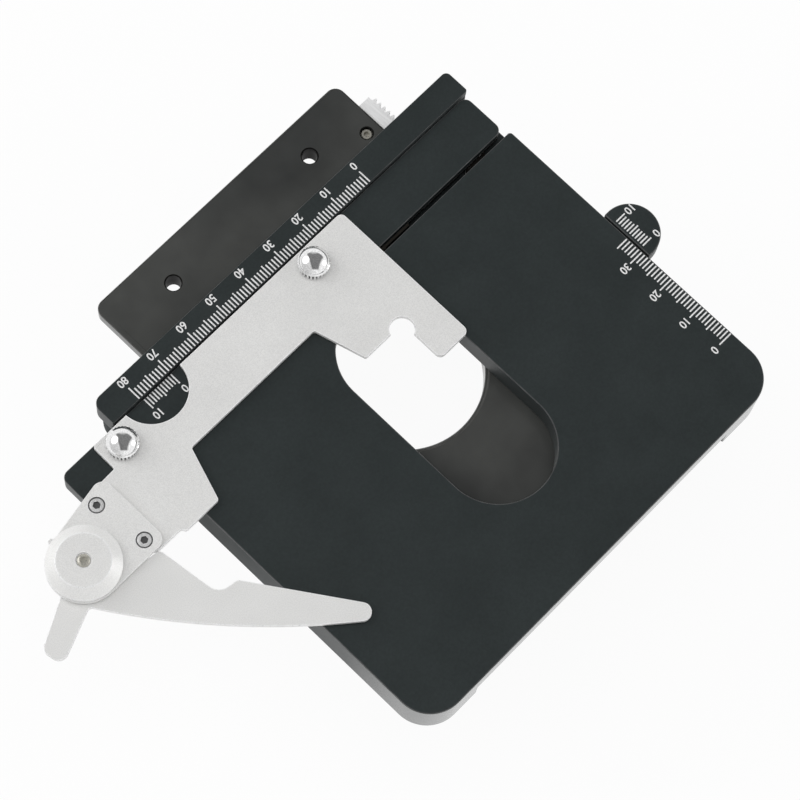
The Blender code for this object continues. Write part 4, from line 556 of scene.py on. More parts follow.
def milkNylon(name):
    made, tree, shader = startFinish(name)
    cloud = grain(tree, *nylonLook["cloud"])
    tones = (nylonLook["dark"], nylonLook["light"])
    tree.links.new(ramp(tree, cloud, nylonLook["band"], tones), shader.inputs["Base Color"])
    tree.links.new(spread(tree, cloud, *nylonLook["gloss"]), shader.inputs["Roughness"])
    shader.inputs["Subsurface Weight"].default_value = nylonLook["glow"]
    return made


finishOf = {
    "black_coat": blackCoat("blackCoat"),
    "grey_gloss": greyGloss("greyGloss"),
    "satin_steel": satinSilver("satinSilver"),
    "bright_chrome": drawnSteel("brightChrome", 0.86, 0.07, stretch=plain),
    "dull_steel": drawnSteel("dullSteel", 0.56, 0.30),
    "brass": drawnSteel("turnedBrass", 0.74, 0.28, (1.0, 0.74, 0.34), (1.0, 1.0, 0.1)),
    "nylon": milkNylon("milkNylon"),
}
# lighter finishes for the bevelled edges: painted edge highlights
coatRim = worn("coatEdgeHighlight", (0.040, 0.043, 0.044), (0.085, 0.088, 0.088))
glossRim = worn("plateEdgeHighlight", (0.045, 0.045, 0.042), (0.080, 0.080, 0.076))
# near-black with almost no gloss for the insides of holes: painted shade
paintedBoreShade = worn("boreShade", (0.004, 0.004, 0.004), (0.012, 0.012, 0.011), 0.04)
silverRim = drawnSteel("silverEdgeHighlight", 0.97, 0.30, stretch=plain, metallic=0.1)
whiteInk = printInk("whitePrint")
lightSteel = drawnSteel("planedSteel", 0.98, 0.34, stretch=(1.0, 0.06, 1.0), metallic=0.0)
# a near-black bronze for parts deep in the channel and the drive: painted shade
shadeDarkBronze = drawnSteel("shadeDarkBronze", 0.016, 0.42, (1.0, 0.86, 0.66), plain, 0.6)
screwSteel = drawnSteel("screwSteel", 0.72, 0.34, stretch=plain, metallic=0.4)
# a darker steel for the screw seats: painted shade
seatShadeSteel = drawnSteel("seatShadeSteel", 0.42, 0.34, stretch=plain, metallic=0.6)
# a dark steel for grooves and sockets: painted shade
grooveShadeSteel = drawnSteel("grooveShadeSteel", 0.20, 0.34, stretch=plain, metallic=0.8)
wallCoat = polishedWall("wallCoat")
warmSteel = drawnSteel("warmSteel", 0.56, 0.30, (1.0, 0.97, 0.86), plain, 0.6)
print("finishes mixed")


# Every CAD node gets its slot's finish first; pieces made below then stand for some of them

# parts inside the channel and the drive take the near-black metal: painted shade
shadedInside = ("x_cage", "x_pinion", "y_pinion", "x_rack")
for entry in frame["record"]["subparts"]:
    node = frame["nodes"][entry["node"]]
    finish = finishOf[entry["material_slot"]]
    if entry["node"] == "y_rack":
        finish = lightSteel
    if entry["node"] in shadedInside or entry["node"].startswith("x_ball"):
        finish = shadeDarkBronze
    node.data.materials.clear()
    node.data.materials.append(finish)
print("nodes finished")


# Lower plate with the tongue that bolts to the stand

lower = {"side": 42.8, "front": -60.0, "back": 65.2, "top": -8.3, "bottom": -15.3, "edge": 0.3,
         "radii": (6.0, 6.0, 2.8, 2.8), "lightRadius": 20.4, "lightBevel": 0.8,
         "holeX": 24.1, "holeY": 56.0, "holeRadius": 2.0,
         "raceInner": 29.75, "raceOuter": 41.05, "raceFloor": -12.6, "raceBack": 44.0, "boreRim": 0.4,
         "stepStart": 46.5, "stepTop": -12.4, "inset": 2.8, "screwX": 38.8, "screwY": 50.2, "screwHole": 1.55,
         "tabScrewX": 25.5, "tabScrewY": (-19.75, -13.35), "tabScrewHole": 1.05, "tabScrewDepth": 3.8}


def makeLowerPlate():
    side = lower["side"]
    back = lower["back"]
    corners = boxCorners(-side, side, lower["front"], back, *lower["radii"])
    plate = plateFrom("lowerPlate", corners, lower["top"], lower["bottom"])
    under = lower["bottom"] - past
    over = lower["top"] + past
    for hand in (-1.0, 1.0):
        ends = sorted((hand * (side - lower["inset"]), hand * (side + past)))
        mill(plate, *ends, lower["stepStart"], back + past, under, lower["stepTop"])
        ends = sorted((hand * lower["raceInner"], hand * lower["raceOuter"]))
        mill(plate, *ends, lower["front"] - past, lower["raceBack"], lower["raceFloor"], over)
        drill(plate, hand * lower["holeX"], lower["holeY"], lower["holeRadius"], under, over)
    mill(plate, -side - past, side + past, back - lower["inset"], back + past, under, lower["stepTop"])
    radius = lower["lightRadius"]
    bevel = lower["lightBevel"]
    drill(plate, 0.0, 0.0, radius, under, over, facets["light"])
    sink(plate, 0.0, 0.0, radius, radius + bevel + past, lower["top"] - bevel, over, facets["light"])
    drill(plate, lower["screwX"], lower["screwY"], lower["screwHole"], under, over)
    for y in lower["tabScrewY"]:
        high = lower["bottom"] + lower["tabScrewDepth"]
        drill(plate, lower["tabScrewX"], y, lower["tabScrewHole"], under, high, facets["tapped"])
    dress(plate, finishOf["grey_gloss"], glossRim)
    breakEdges(plate, lower["edge"])
    plate.data.materials.append(paintedBoreShade)
    # the hole walls take the near-black finish: painted shade
    for hand in (-1.0, 1.0):
        darkenBore(plate, hand * lower["holeX"], lower["holeY"], lower["holeRadius"] + lower["boreRim"], 2)
    darkenBore(plate, lower["screwX"], lower["screwY"], lower["screwHole"] + lower["boreRim"], 2)
    mount(plate, "base", "base_plate")


makeLowerPlate()
print("lower plate done")


# Clamp screw in the tongue's corner

clamp = {"radius": 1.5, "top": -9.0, "bottom": -13.8, "rim": [(0.0, 0.3), (0.25, 0.0)], "socket": 0.85,
         "socketDepth": 1.1}


def makeClampScrew():
    radius = clamp["radius"]
    top = clamp["top"]
    bottom = clamp["bottom"]
    profile = [(0.0, bottom), (radius / 2.0, bottom), (radius, bottom + radius / 2.0)]
    profile += roundOver(radius, top, clamp["rim"]) + [(0.0, top)]
    x = lower["screwX"]
    y = lower["screwY"]
    screw = turnOnLathe("clampScrew", profile, x, y, facets["small"])
    drill(screw, x, y, clamp["socket"], top - clamp["socketDepth"], top + past, facets["hex"])
    dress(screw, warmSteel)
    shadeWell(screw)
    mount(screw, "base", "tongue_screw")


makeClampScrew()
print("clamp screw done")


# Half-round vernier tab, its riser and the foot under the lower plate

tab = {"centreX": 63.7, "y": -16.55, "radius": 7.65, "left": 62.4, "bottom": -5.0, "edge": 0.3,
       "riser": (62.8, 66.2), "width": 12.0, "footLeft": 22.0, "footRadius": 1.5, "footTop": -15.55,
       "footBottom": -17.75}


def makeVernierTab():
    piece = rod(tab["centreX"], tab["y"], tab["radius"], tab["bottom"], 0.0, facets["dial"])
    piece.name = "vernierTab"
    holdOnly(piece)
    bpy.ops.object.mode_set(mode="EDIT")
    bpy.ops.mesh.select_all(action="SELECT")
    cut = spot(tab["centreX"], tab["y"])
    bpy.ops.mesh.bisect(plane_co=cut, plane_no=(1.0, 0.0, 0.0), use_fill=True, clear_inner=True)
    bpy.ops.object.mode_set(mode="OBJECT")
    pick(piece, "FACE", lambda face: face.normal.x < -shop["square"])
    bpy.ops.mesh.extrude_region_move(TRANSFORM_OT_translate=step(tab["left"] - tab["centreX"], 0.0))
    bpy.ops.object.mode_set(mode="OBJECT")
    closeUp(piece)
    front = tab["y"] - tab["width"] / 2.0
    back = tab["y"] + tab["width"] / 2.0
    left, right = tab["riser"]
    corners = boxCorners(left, right, front, back, 0.0, 0.0, 0.0, 0.0)
    combine(piece, plateFrom("riser", corners, tab["bottom"] + past, tab["footBottom"]), "UNION")
    corners = boxCorners(tab["footLeft"], right, front, back, tab["footRadius"], 0.0, 0.0, tab["footRadius"])
    combine(piece, plateFrom("foot", corners, tab["footTop"], tab["footBottom"]), "UNION")
    under = tab["footBottom"] - past
    over = tab["footTop"] + past
    for y in lower["tabScrewY"]:
        drill(piece, lower["tabScrewX"], y, lower["tabScrewHole"], under, over, facets["tapped"])
    dress(piece, finishOf["black_coat"], coatRim)
    breakEdges(piece, tab["edge"])
    mount(piece, "base", "y_vernier")


makeVernierTab()
print("vernier tab done")


# Stage plate: slab with a skirt, the long slot and the channel for the carriage bar

stage = {"side": 62.0, "front": -68.3, "back": 45.5, "bottom": -13.5, "slab": -7.8, "skirt": 4.0,
         "edge": 0.28, "radii": (9.5, 9.5, 1.8, 5.5), "wallSlope": 0.3,
         "reliefLeft": -44.9, "reliefFrontRight": 43.9, "reliefBackRight": 48.8, "reliefLap": 0.5,
         "channelFront": 23.1, "channelFloor": -5.7, "channelCorner": 0.9, "cornerSteps": 5,
         "slotRadius": 14.7, "slotFront": -31.2, "slotBack": 3.1, "slotTool": (-14.0, 6.0),
         "columnX": 51.0, "columnY": 21.4, "pinionRoom": 4.9, "rackSeat": -3.2, "race": 0.968, "raceZ": -1.7,
         "boltX": 40.0, "boltY": 41.75, "boltHole": 1.25, "boltHead": 2.35,
         "boltSink": (0.2, 1.3), "boltBore": 0.21,
         "housingX": 53.25, "housingSpan": 2.2, "housingY": 10.3, "housingHole": 1.0, "housingTop": -3.6}


def slotTool():                             # a long hole with round ends
    tool = rod(0.0, stage["slotFront"], stage["slotRadius"], *stage["slotTool"], facets["light"])
    pick(tool, "FACE", lambda face: face.normal.y > hair)
    bpy.ops.mesh.extrude_region_move(TRANSFORM_OT_translate=step(0.0, stage["slotBack"] - stage["slotFront"]))
    bpy.ops.object.mode_set(mode="OBJECT")
    return closeUp(tool)


def roundChannelCorners(plate):             # the upright edges where the channel leaves the plate
    def atCorner(edge):
        ends = [plate.data.vertices[number].co for number in edge.vertices]
        place = ends[0] - spot(0.0, stage["channelFront"])
        upright = abs(ends[0].x - ends[1].x) + abs(ends[0].y - ends[1].y) < hair * mm
        high = (ends[0].z + ends[1].z) / 2.0 > stageTop + stage["channelFloor"] * mm
        outside = abs(abs(place.x) - stage["side"] * mm) < hair * mm
        return upright and high and outside and abs(place.y) < hair * mm

    pick(plate, "EDGE", atCorner)
    bpy.ops.mesh.bevel(offset=stage["channelCorner"] * mm, segments=stage["cornerSteps"], profile=0.5)
    bpy.ops.object.mode_set(mode="OBJECT")


def isOuterWall(face):                      # the side walls and the front one, with their round corners
    radius = stage["radii"][0]
    across = abs(face.center.x) > (stage["side"] - radius) * mm
    ahead = face.center.y < axisY + (stage["front"] + radius) * mm
    out = face.normal.x * face.center.x > 0.0 if across else face.normal.y < 0.0
    return abs(face.normal.z) < stage["wallSlope"] and (across or ahead) and out


def boltHoles(plate, under):                # for the scale bar and for the housing of the knobs
    y = stage["boltY"]
    hole = stage["boltHole"]
    head = stage["boltHead"]
    slab = stage["slab"]
    low, high = stage["boltSink"]
    for hand in (-1.0, 1.0):
        x = hand * stage["boltX"]
        drill(plate, x, y, hole, under, 0.0, facets["bolt"])
        sink(plate, x, y, head, hole, slab + low, slab + high, facets["bolt"])
        drill(plate, x, y, head, under, slab + stage["boltBore"], facets["bolt"])
        x = stage["housingX"] + hand * stage["housingSpan"]
        drill(plate, x, stage["housingY"], stage["housingHole"], under, stage["housingTop"], facets["tapped"])


def makeStagePlate():
    side = stage["side"]
    front = stage["front"]
    back = stage["back"]
    slab = stage["slab"]
    skirt = stage["skirt"]
    left = stage["reliefLeft"]
    corners = boxCorners(-side, side, front, back, *stage["radii"])
    plate = plateFrom("stagePlate", corners, 0.0, stage["bottom"])
    under = stage["bottom"] - past
    mill(plate, skirt - side, side - skirt, front + skirt, back - skirt, under, slab)
    mill(plate, left, stage["reliefFrontRight"], front - past, 0.0, under, slab)
    mill(plate, left, stage["reliefBackRight"], -stage["reliefLap"], back + past, under, slab)
    mill(plate, -side - past, side + past, stage["channelFront"], back + past, stage["channelFloor"], past)
    roundChannelCorners(plate)
    combine(plate, slotTool(), "DIFFERENCE")
    drill(plate, stage["columnX"], stage["columnY"], stage["pinionRoom"], under, stage["rackSeat"])
    depth = stage["race"]
    cutGroove(plate, -side - past, side + past, stage["channelFront"] + depth, stage["raceZ"], depth)
    boltHoles(plate, under)
    dress(plate, finishOf["black_coat"], coatRim)
    breakEdges(plate, stage["edge"])
    # the outer walls take the coat with the painted reflection, brighter towards the front
    plate.data.materials.append(wallCoat)
    recoat(plate, 2, isOuterWall)
    mount(plate, "upper", "stage_plate")


makeStagePlate()
print("stage plate done")


# Scale bar along the back of the stage plate

ruler = {"side": 62.0, "front": 38.0, "back": 45.5, "top": 1.2, "bottom": -5.45, "edge": 0.15,
         "radii": (0.4, 0.7, 1.5, 2.6), "way": 0.77, "wayZ": -2.2, "boltTop": -1.55}


def makeScaleBar():
    side = ruler["side"]
    corners = boxCorners(-side, side, ruler["front"], ruler["back"], *ruler["radii"])
    piece = plateFrom("scaleBar", corners, ruler["top"], ruler["bottom"])
    cutGroove(piece, -side - past, side + past, ruler["front"] - ruler["way"], ruler["wayZ"], ruler["way"])
    under = ruler["bottom"] - past
    for x in (-stage["boltX"], stage["boltX"]):
        drill(piece, x, stage["boltY"], stage["boltHole"], under, ruler["boltTop"], facets["bolt"])
    dress(piece, finishOf["black_coat"], coatRim)
    breakEdges(piece, ruler["edge"])
    mount(piece, "upper", "scale_bar")


makeScaleBar()
print("scale bar done")


# Carriage bar that runs in the channel

bar = {"left": -80.1, "right": 60.9, "front": 24.7, "back": 37.7, "bottom": -5.4, "radius": 2.2, "edge": 0.2,
       "ridge": 1.0, "ridgeZ": -2.2, "ridgeLeft": -61.0, "race": 0.968, "raceZ": -1.7,
       "rackLeft": -24.0, "rackBack": 27.7, "rackSeat": -3.2,
       "screwY": 32.5, "screwX": (-64.2, 1.2), "screwHole": 1.5, "screwFloor": 0.2}


def makeCarriageBar():
    left = bar["left"]
    right = bar["right"]
    front = bar["front"]
    radius = bar["radius"]
    ridge = bar["ridge"]
    corners = boxCorners(left, right, front, bar["back"], radius, radius, radius, radius)
    piece = plateFrom("carriageBar", corners, 0.0, bar["bottom"])
    way = diamondAlong(bar["ridgeLeft"], right - radius, bar["back"] - ridge, bar["ridgeZ"], 2.0 * ridge)
    combine(piece, way, "UNION")
    depth = bar["race"]
    cutGroove(piece, left - past, right + past, front - depth, bar["raceZ"], depth)
    under = bar["bottom"] - past
    mill(piece, bar["rackLeft"], right + past, front - past, bar["rackBack"], under, bar["rackSeat"])
    for x in bar["screwX"]:
        low = bar["bottom"] + bar["screwFloor"]
        drill(piece, x, bar["screwY"], bar["screwHole"], low, past, facets["bolt"])
    dress(piece, finishOf["black_coat"], coatRim)
    breakEdges(piece, bar["edge"])
    mount(piece, "carriage", "carriage_bar")


makeCarriageBar()
print("carriage bar done")


# Slide holder, one sheet with the back fence, the side stop and the lug for the finger

holder = {"top": 1.75, "bottom": 0.25, "edge": 0.24, "largeHole": 3.0,
          "corners": [(15.9, -6.4, 1.6), (15.9, 37.4, 1.5), (-69.7, 37.3, 1.0), (-69.8, 29.7, 0.4),
                      (-76.3, 29.5), (-80.0, 27.8), (-86.2, 26.2), (-86.6, 25.5), (-83.2, 12.7), (-79.3, 9.4),
                      (-76.6, 7.7), (-69.2, 7.7, 0.8), (-68.4, 6.5, 0.8), (-57.6, 6.5, 0.75),
                      (-53.0, 20.4, 0.75), (-11.0, 20.4, 0.75), (-7.0, 6.5, 0.75), (5.8, 6.5),
                      (5.8, -6.4, 1.6)],
          "holes": [(-49.3, 37.9, 9.1), (4.6, 5.5, 3.2), (-91.6, 17.5, 9.6), (-64.2, 32.5, 1.65),
                    (1.2, 32.5, 1.65), (-79.4, 25.8, 0.85), (-77.4, 11.7, 0.85)]}


def makeHolder():
    sheet = plateFrom("slideHolder", holder["corners"], holder["top"], holder["bottom"])
    for x, y, radius in holder["holes"]:
        sides = facets["dial"] if radius > holder["largeHole"] else facets["small"]
        drill(sheet, x, y, radius, holder["bottom"] - past, holder["top"] + past, sides)
    dress(sheet, finishOf["satin_steel"], silverRim)
    breakEdges(sheet, holder["edge"])
    mount(sheet, "carriage", "holder_sheet")


makeHolder()
print("slide holder done")


# Cover over the finger's hub, with its two screws

cover = {"top": 3.3, "bottom": 2.0, "edge": 0.14, "edgeAngle": 60.0, "pivotX": -91.6, "pivotY": 17.5,
         "corners": [(-91.6, 8.1), (-73.5, 8.1, 2.7), (-73.5, 30.3, 2.7)], "arc": (9.4, 101.0, 270.0, 44),
         "bore": 3.05, "screwHole": 0.85, "seat": 2.05, "seatDepth": 0.85, "seatRim": (0.03, 0.02),
         "screws": {"cover_screw_back": (-79.4, 25.8), "cover_screw_front": (-77.4, 11.7)}}
coverScrew = {"head": 1.75, "headDepth": 0.8, "shank": 0.8, "bottom": 0.5, "socket": 1.0, "socketDepth": 0.5,
              "socketLip": 0.05, "rim": [(0.0, 0.22), (0.08, 0.08), (0.28, 0.0)]}


def makeCover():
    corners = cover["corners"] + arcCorners(cover["pivotX"], cover["pivotY"], *cover["arc"])[:-1]
    plate = plateFrom("hubCover", corners, cover["top"], cover["bottom"])
    under = cover["bottom"] - past
    over = cover["top"] + past
    drill(plate, cover["pivotX"], cover["pivotY"], cover["bore"], under, over, facets["head"])
    for x, y in cover["screws"].values():
        drill(plate, x, y, cover["screwHole"], under, over, facets["small"])
        drill(plate, x, y, cover["seat"], cover["top"] - cover["seatDepth"], over, facets["small"])
    dress(plate, finishOf["satin_steel"], silverRim)
    breakEdges(plate, cover["edge"], cover["edgeAngle"])
    # the screw seats take a darker steel: painted shade in the counterbores
    plate.data.materials.append(seatShadeSteel)
    outward, down = cover["seatRim"]
    for x, y in cover["screws"].values():
        darkenBore(plate, x, y, cover["seat"] + outward, 2, cover["top"] - down, True)
    mount(plate, "carriage", "cover_plate")


def makeCoverScrew(name, node, x, y):
    top = cover["top"]
    head = coverScrew["head"]
    shank = coverScrew["shank"]
    seat = top - coverScrew["headDepth"]
    profile = [(0.0, coverScrew["bottom"]), (shank, coverScrew["bottom"]), (shank, seat), (head, seat)]
    profile += roundOver(head, top, coverScrew["rim"]) + [(0.0, top)]
    screw = turnOnLathe(name, profile, x, y, facets["head"])
    drill(screw, x, y, coverScrew["socket"], top - coverScrew["socketDepth"], top + past, facets["hex"])
    dress(screw, screwSteel, grooveShadeSteel)
    # the hex socket takes the dark steel: painted shade
    darkenBore(screw, x, y, coverScrew["socket"], 1, top - coverScrew["socketLip"], True)
    shadeWell(screw)
    mount(screw, "carriage", node)


makeCover()
for node, (x, y) in cover["screws"].items():
    makeCoverScrew(node.replace("cover_screw_", "coverScrew"), node, x, y)
print("cover done")


# Finger with its thumb lever, drawn about the pivot

finger = {"top": 1.65, "bottom": 0.25, "edge": 0.22, "hub": 9.0,
          "bore": 2.45, "seat": 3.25, "seatDepth": 0.35,
          "arm": [(23.2, -28.1, 1.3), (17.7, -27.2, 3.6), (15.3, -9.8, 1.4), (11.8, -9.3)],
          "hubArcs": [(0.0, -32.0, 91.5, 30), (1.7, 95.0, 101.0, 3), (0.0, 104.5, 188.0, 22)],
          "lever": [(-21.45, -7.8, 2.2), (-20.25, -13.7, 2.4)], "heel": (-6.2, -8.0, 1.0),
          "bow": 2.65, "bowSteps": 20, "tip": (38.47, -54.47, 2.35, -129.0, 34.5, 18)}


def bowedEdge(start, end, bow, count):      # the points between two corners of an edge, on a parabola
    first = Vector(start[:2])
    ahead = Vector(end[:2]) - first
    side = Vector((ahead.y, -ahead.x)).normalized()
    shares = [number / count for number in range(1, count)]
    return [tuple(first + ahead * share + side * (4.0 * bow * share * (1.0 - share))) for share in shares]


def makeFinger():
    line = list(finger["arm"])
    for proud, start, end, count in finger["hubArcs"]:
        line += arcCorners(0.0, 0.0, finger["hub"] + proud, start, end, count)
    line += finger["lever"] + [finger["heel"]]
    tip = arcCorners(*finger["tip"])
    line += bowedEdge(finger["heel"], tip[0], finger["bow"], finger["bowSteps"]) + tip
    x = cover["pivotX"]
    y = cover["pivotY"]
    corners = [(x + point[0], y + point[1], *point[2:]) for point in line]
    piece = plateFrom("finger", corners, finger["top"], finger["bottom"])
    under = finger["bottom"] - past
    drill(piece, x, y, finger["bore"], under, finger["top"] + past, facets["small"])
    drill(piece, x, y, finger["seat"], under, finger["bottom"] + finger["seatDepth"], facets["small"])
    dress(piece, finishOf["satin_steel"], silverRim)
    breakEdges(piece, finger["edge"])
    mount(piece, "finger", "finger")


makeFinger()
print("finger done")


# Spring cap and its screw

cap = {"bottom": 3.55, "band": 1.2, "top": 7.15, "radius": 9.3, "flat": 6.7, "cavity": 6.4, "roof": 5.85,
       "recess": 1.9, "recessFloor": 6.55, "bore": 0.95, "edge": 0.18, "edgeAngle": 25.0}
capScrew = {"bottom": 3.8, "shank": 0.9, "seat": 0.05, "head": 1.6, "flat": 0.9, "socket": 0.85,
            "socketDepth": 0.4, "rim": [(0.0, 0.35), (0.15, 0.16), (0.55, 0.03)]}


def makeCap():
    bore = cap["bore"]
    floor = cap["recessFloor"]
    profile = [(bore, cap["roof"]), (cap["cavity"], cap["roof"]), (cap["cavity"], cap["bottom"])]
    profile += [(cap["radius"], cap["bottom"]), (cap["radius"], cap["bottom"] + cap["band"])]
    profile += [(cap["flat"], cap["top"]), (cap["recess"], cap["top"]), (cap["recess"], floor)]
    profile += [(bore, floor), (bore, cap["roof"])]
    piece = turnOnLathe("springCap", profile, cover["pivotX"], cover["pivotY"], facets["dial"])
    dress(piece, finishOf["satin_steel"], silverRim)
    breakEdges(piece, cap["edge"], cap["edgeAngle"])
    mount(piece, "finger", "spring_cap")


def makeCapScrew():
    top = cap["top"]
    seat = cap["recessFloor"] + capScrew["seat"]
    shank = capScrew["shank"]
    head = capScrew["head"]
    profile = [(0.0, capScrew["bottom"]), (shank, capScrew["bottom"]), (shank, seat), (head, seat)]
    profile += roundOver(head, top, capScrew["rim"]) + [(capScrew["flat"], top), (0.0, top)]
    x = cover["pivotX"]
    y = cover["pivotY"]
    screw = turnOnLathe("capScrew", profile, x, y, facets["head"])
    drill(screw, x, y, capScrew["socket"], top - capScrew["socketDepth"], top + past, facets["hex"])
    dress(screw, warmSteel)
    shadeWell(screw)
    mount(screw, "finger", "cap_screw")


makeCap()
makeCapScrew()
print("cap done")


# Thumbscrews that clamp the holder to the carriage bar

thumb = {"radius": 4.1, "low": 2.0, "band": 4.1, "top": 6.4, "neck": 3.85, "domeSteps": 12, "smooth": 40.0,
         "shank": 1.4, "shankBottom": -5.0, "bevel": 0.3, "rim": [(0.0, 0.35), (0.08, 0.12)],
         "ribs": 28, "ribSides": 4, "ribDepth": 0.38, "ribShare": 0.5,
         "grooveDepth": 2.0, "grooveInner": 3.0, "grooveRim": 0.2}


def makeThumbscrew(name, node, x):
    radius = thumb["radius"]
    low = thumb["low"]
    band = thumb["band"]
    neck = thumb["neck"]
    shank = thumb["shank"]
    bevel = thumb["bevel"]
    bottom = thumb["shankBottom"]
    dome = thumb["top"] - band
    curve = (neck * neck + dome * dome) / (2.0 * dome)
    profile = [(0.0, bottom), (shank - bevel, bottom), (shank, bottom + bevel), (shank, low)]
    profile += [(radius - bevel, low), (radius, low + bevel)]
    profile += roundOver(radius, band, thumb["rim"]) + [(neck, band)]
    for number in range(1, thumb["domeSteps"]):
        turn = math.asin(neck / curve) * (1.0 - number / thumb["domeSteps"])
        profile.append((curve * math.sin(turn), thumb["top"] - curve * (1.0 - math.cos(turn))))
    profile.append((0.0, thumb["top"]))
    y = bar["screwY"]
    ribs = thumb["ribs"]
    screw = turnOnLathe(name, profile, x, y, ribs * thumb["ribSides"])
    high = band - thumb["rim"][0][1]
    fluteBand(screw, x, y, low + bevel, high, ribs, thumb["ribDepth"], radius, thumb["ribShare"])
    dress(screw, finishOf["bright_chrome"], grooveShadeSteel)
    axis = spot(x, y, band)

    def inGroove(face):                     # painted shade between the ribs
        away = Vector((face.center.x - axis.x, face.center.y - axis.y))
        level = axis.z - thumb["grooveDepth"] * mm < face.center.z < axis.z
        return level and thumb["grooveInner"] * mm < away.length < (radius - thumb["grooveRim"]) * mm

    recoat(screw, 1, inGroove)
    shadeWell(screw, thumb["smooth"])
    mount(screw, node, node)


makeThumbscrew("thumbscrewLeft", "thumbscrew_left", bar["screwX"][0])
makeThumbscrew("thumbscrewRight", "thumbscrew_right", bar["screwX"][1])
print("thumbscrews done")


# Drive knobs under the stage

knobs = {"flutes": 22, "fluteSides": 6, "depth": 0.4, "share": 0.45, "neck": 2.6, "neckShare": 0.72,
         "neckBevel": 0.25, "bevel": 0.8, "dishInner": 0.55, "dishOuter": 0.6, "dishDepth": 0.3,
         "setHole": 1.05, "smooth": 32.0}
lowerKnob = {"node": "x_knob", "body": "x_drive", "radius": 9.0, "bottom": -57.5, "top": -44.3, "bore": 1.45}
upperKnob = {"node": "y_knob", "body": "y_drive", "radius": 11.0, "bottom": -43.0, "top": -31.5, "bore": 3.25}


def makeKnob(name, one):
    radius = one["radius"]
    bottom = one["bottom"]
    top = one["top"]
    bore = one["bore"]
    bevel = knobs["bevel"]
    neck = top - knobs["neck"]
    thin = radius * knobs["neckShare"]
    dish = bottom + knobs["dishDepth"]
    profile = [(bore, dish), (radius * knobs["dishInner"], dish), (radius * knobs["dishOuter"], bottom)]
    profile += [(radius - bevel, bottom), (radius, bottom + bevel), (radius, neck - bevel)]
    profile += [(radius - bevel, neck), (thin, neck), (thin, top - knobs["neckBevel"])]
    profile += [(thin - knobs["neckBevel"], top), (bore, top), (bore, dish)]
    x = stage["columnX"]
    y = stage["columnY"]
    flutes = knobs["flutes"]
    knob = turnOnLathe(name, profile, x, y, flutes * knobs["fluteSides"])
    fluteBand(knob, x, y, bottom + bevel, neck - bevel, flutes, knobs["depth"], radius, knobs["share"])
    height = top - knobs["neck"] / 2.0
    hole = rodAcross(x + bore, x + radius, y, height, knobs["setHole"], facets["tapped"])
    combine(knob, hole, "DIFFERENCE")
    dress(knob, finishOf["black_coat"])
    shadeWell(knob, knobs["smooth"])
    mount(knob, one["body"], one["node"])


makeKnob("knobLower", lowerKnob)
makeKnob("knobUpper", upperKnob)
print("knobs done")


# Graduations: one stroke is drawn, then repeated along its scale; every fifth and tenth is longer

marks = {"stroke": 0.38, "nib": 0.3, "every": (1, 5, 10), "numbered": 10, "proud": 0.03, "sunk": 0.02,
         "digit": 3.0, "digitWidth": 0.92, "bold": 0.05, "curve": 3}
scales = {
    "scaleMarksX": {"body": "upper", "upright": True, "zero": 26.9, "pitch": -1.0, "last": 80,
                    "start": 38.15, "grow": 1.0, "lengths": (2.75, 0.5, 0.5), "label": 44.0, "top": 1.2},
    "vernierMarksX": {"body": "carriage", "upright": True, "zero": -43.2, "pitch": -0.9, "last": 10,
                      "start": 37.45, "grow": -1.0, "lengths": (2.6, 0.55), "label": 32.6, "top": 0.0},
    "scaleMarksY": {"body": "upper", "upright": False, "zero": -52.2, "pitch": 1.0, "last": 35,
                    "start": 61.7, "grow": -1.0, "lengths": (3.0, 0.6, 0.6), "label": 55.65, "top": 0.0},
    "vernierMarksY": {"body": "base", "upright": False, "zero": -21.2, "pitch": 0.9, "last": 10,
                      "start": 63.2, "grow": 1.0, "lengths": (2.7, 0.4), "label": 68.1, "top": 0.0},
}


def turned(one, place, offset):             # a place along the scale and one off it, as x and y
    return (place, offset) if one["upright"] else (offset, place)


def markRow(one, middle, length, every):
    x, y = turned(one, one["zero"], middle)
    wide, high = turned(one, marks["stroke"] / 2.0, length / 2.0)
    nib = marks["stroke"] * marks["nib"]
    corners = boxCorners(x - wide, x + wide, y - high, y + high, nib, nib, nib, nib)
    row = plateFrom("row", corners, one["top"] + marks["proud"], one["top"] - marks["sunk"])
    many = row.modifiers.new("row", "ARRAY")
    many.count = one["last"] // every + 1
    many.use_relative_offset = False
    many.use_constant_offset = True
    many.constant_offset_displace = (*turned(one, every * one["pitch"] * mm, 0.0), 0.0)
    holdOnly(row)
    bpy.ops.object.modifier_apply(modifier=many.name)
    return row


def printNumber(text, x, y, top):
    bpy.ops.object.select_all(action="DESELECT")
    bpy.ops.object.text_add(location=spot(x, y, top), rotation=(0.0, 0.0, math.pi))
    label = bpy.context.object
    label.data.body = text
    label.data.size = marks["digit"] * mm
    label.data.align_x = "CENTER"
    label.data.align_y = "CENTER"
    label.data.extrude = marks["proud"] * mm
    label.data.resolution_u = marks["curve"]
    label.data.offset = marks["bold"] * mm
    bpy.ops.object.convert(target="MESH")
    label = bpy.context.object
    label.scale = (marks["digitWidth"], 1.0, 1.0)
    return settle(label)


def joinMarks(name, pieces, body):
    bpy.ops.object.select_all(action="DESELECT")
    for piece in pieces:
        piece.select_set(True)
    bpy.context.view_layer.objects.active = pieces[0]
    bpy.ops.object.join()
    joined = bpy.context.object
    joined.name = name
    dress(joined, whiteInk)
    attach(joined, body)


def printScale(name, one):
    pieces = []
    end = one["start"]
    for length, every in zip(one["lengths"], marks["every"]):
        pieces.append(markRow(one, end + one["grow"] * length / 2.0, length, every))
        end += one["grow"] * length
    for number in range(0, one["last"] + 1, marks["numbered"]):
        place = turned(one, one["zero"] + number * one["pitch"], one["label"])
        pieces.append(printNumber(str(number), *place, one["top"]))
    joinMarks(name, pieces, one["body"])


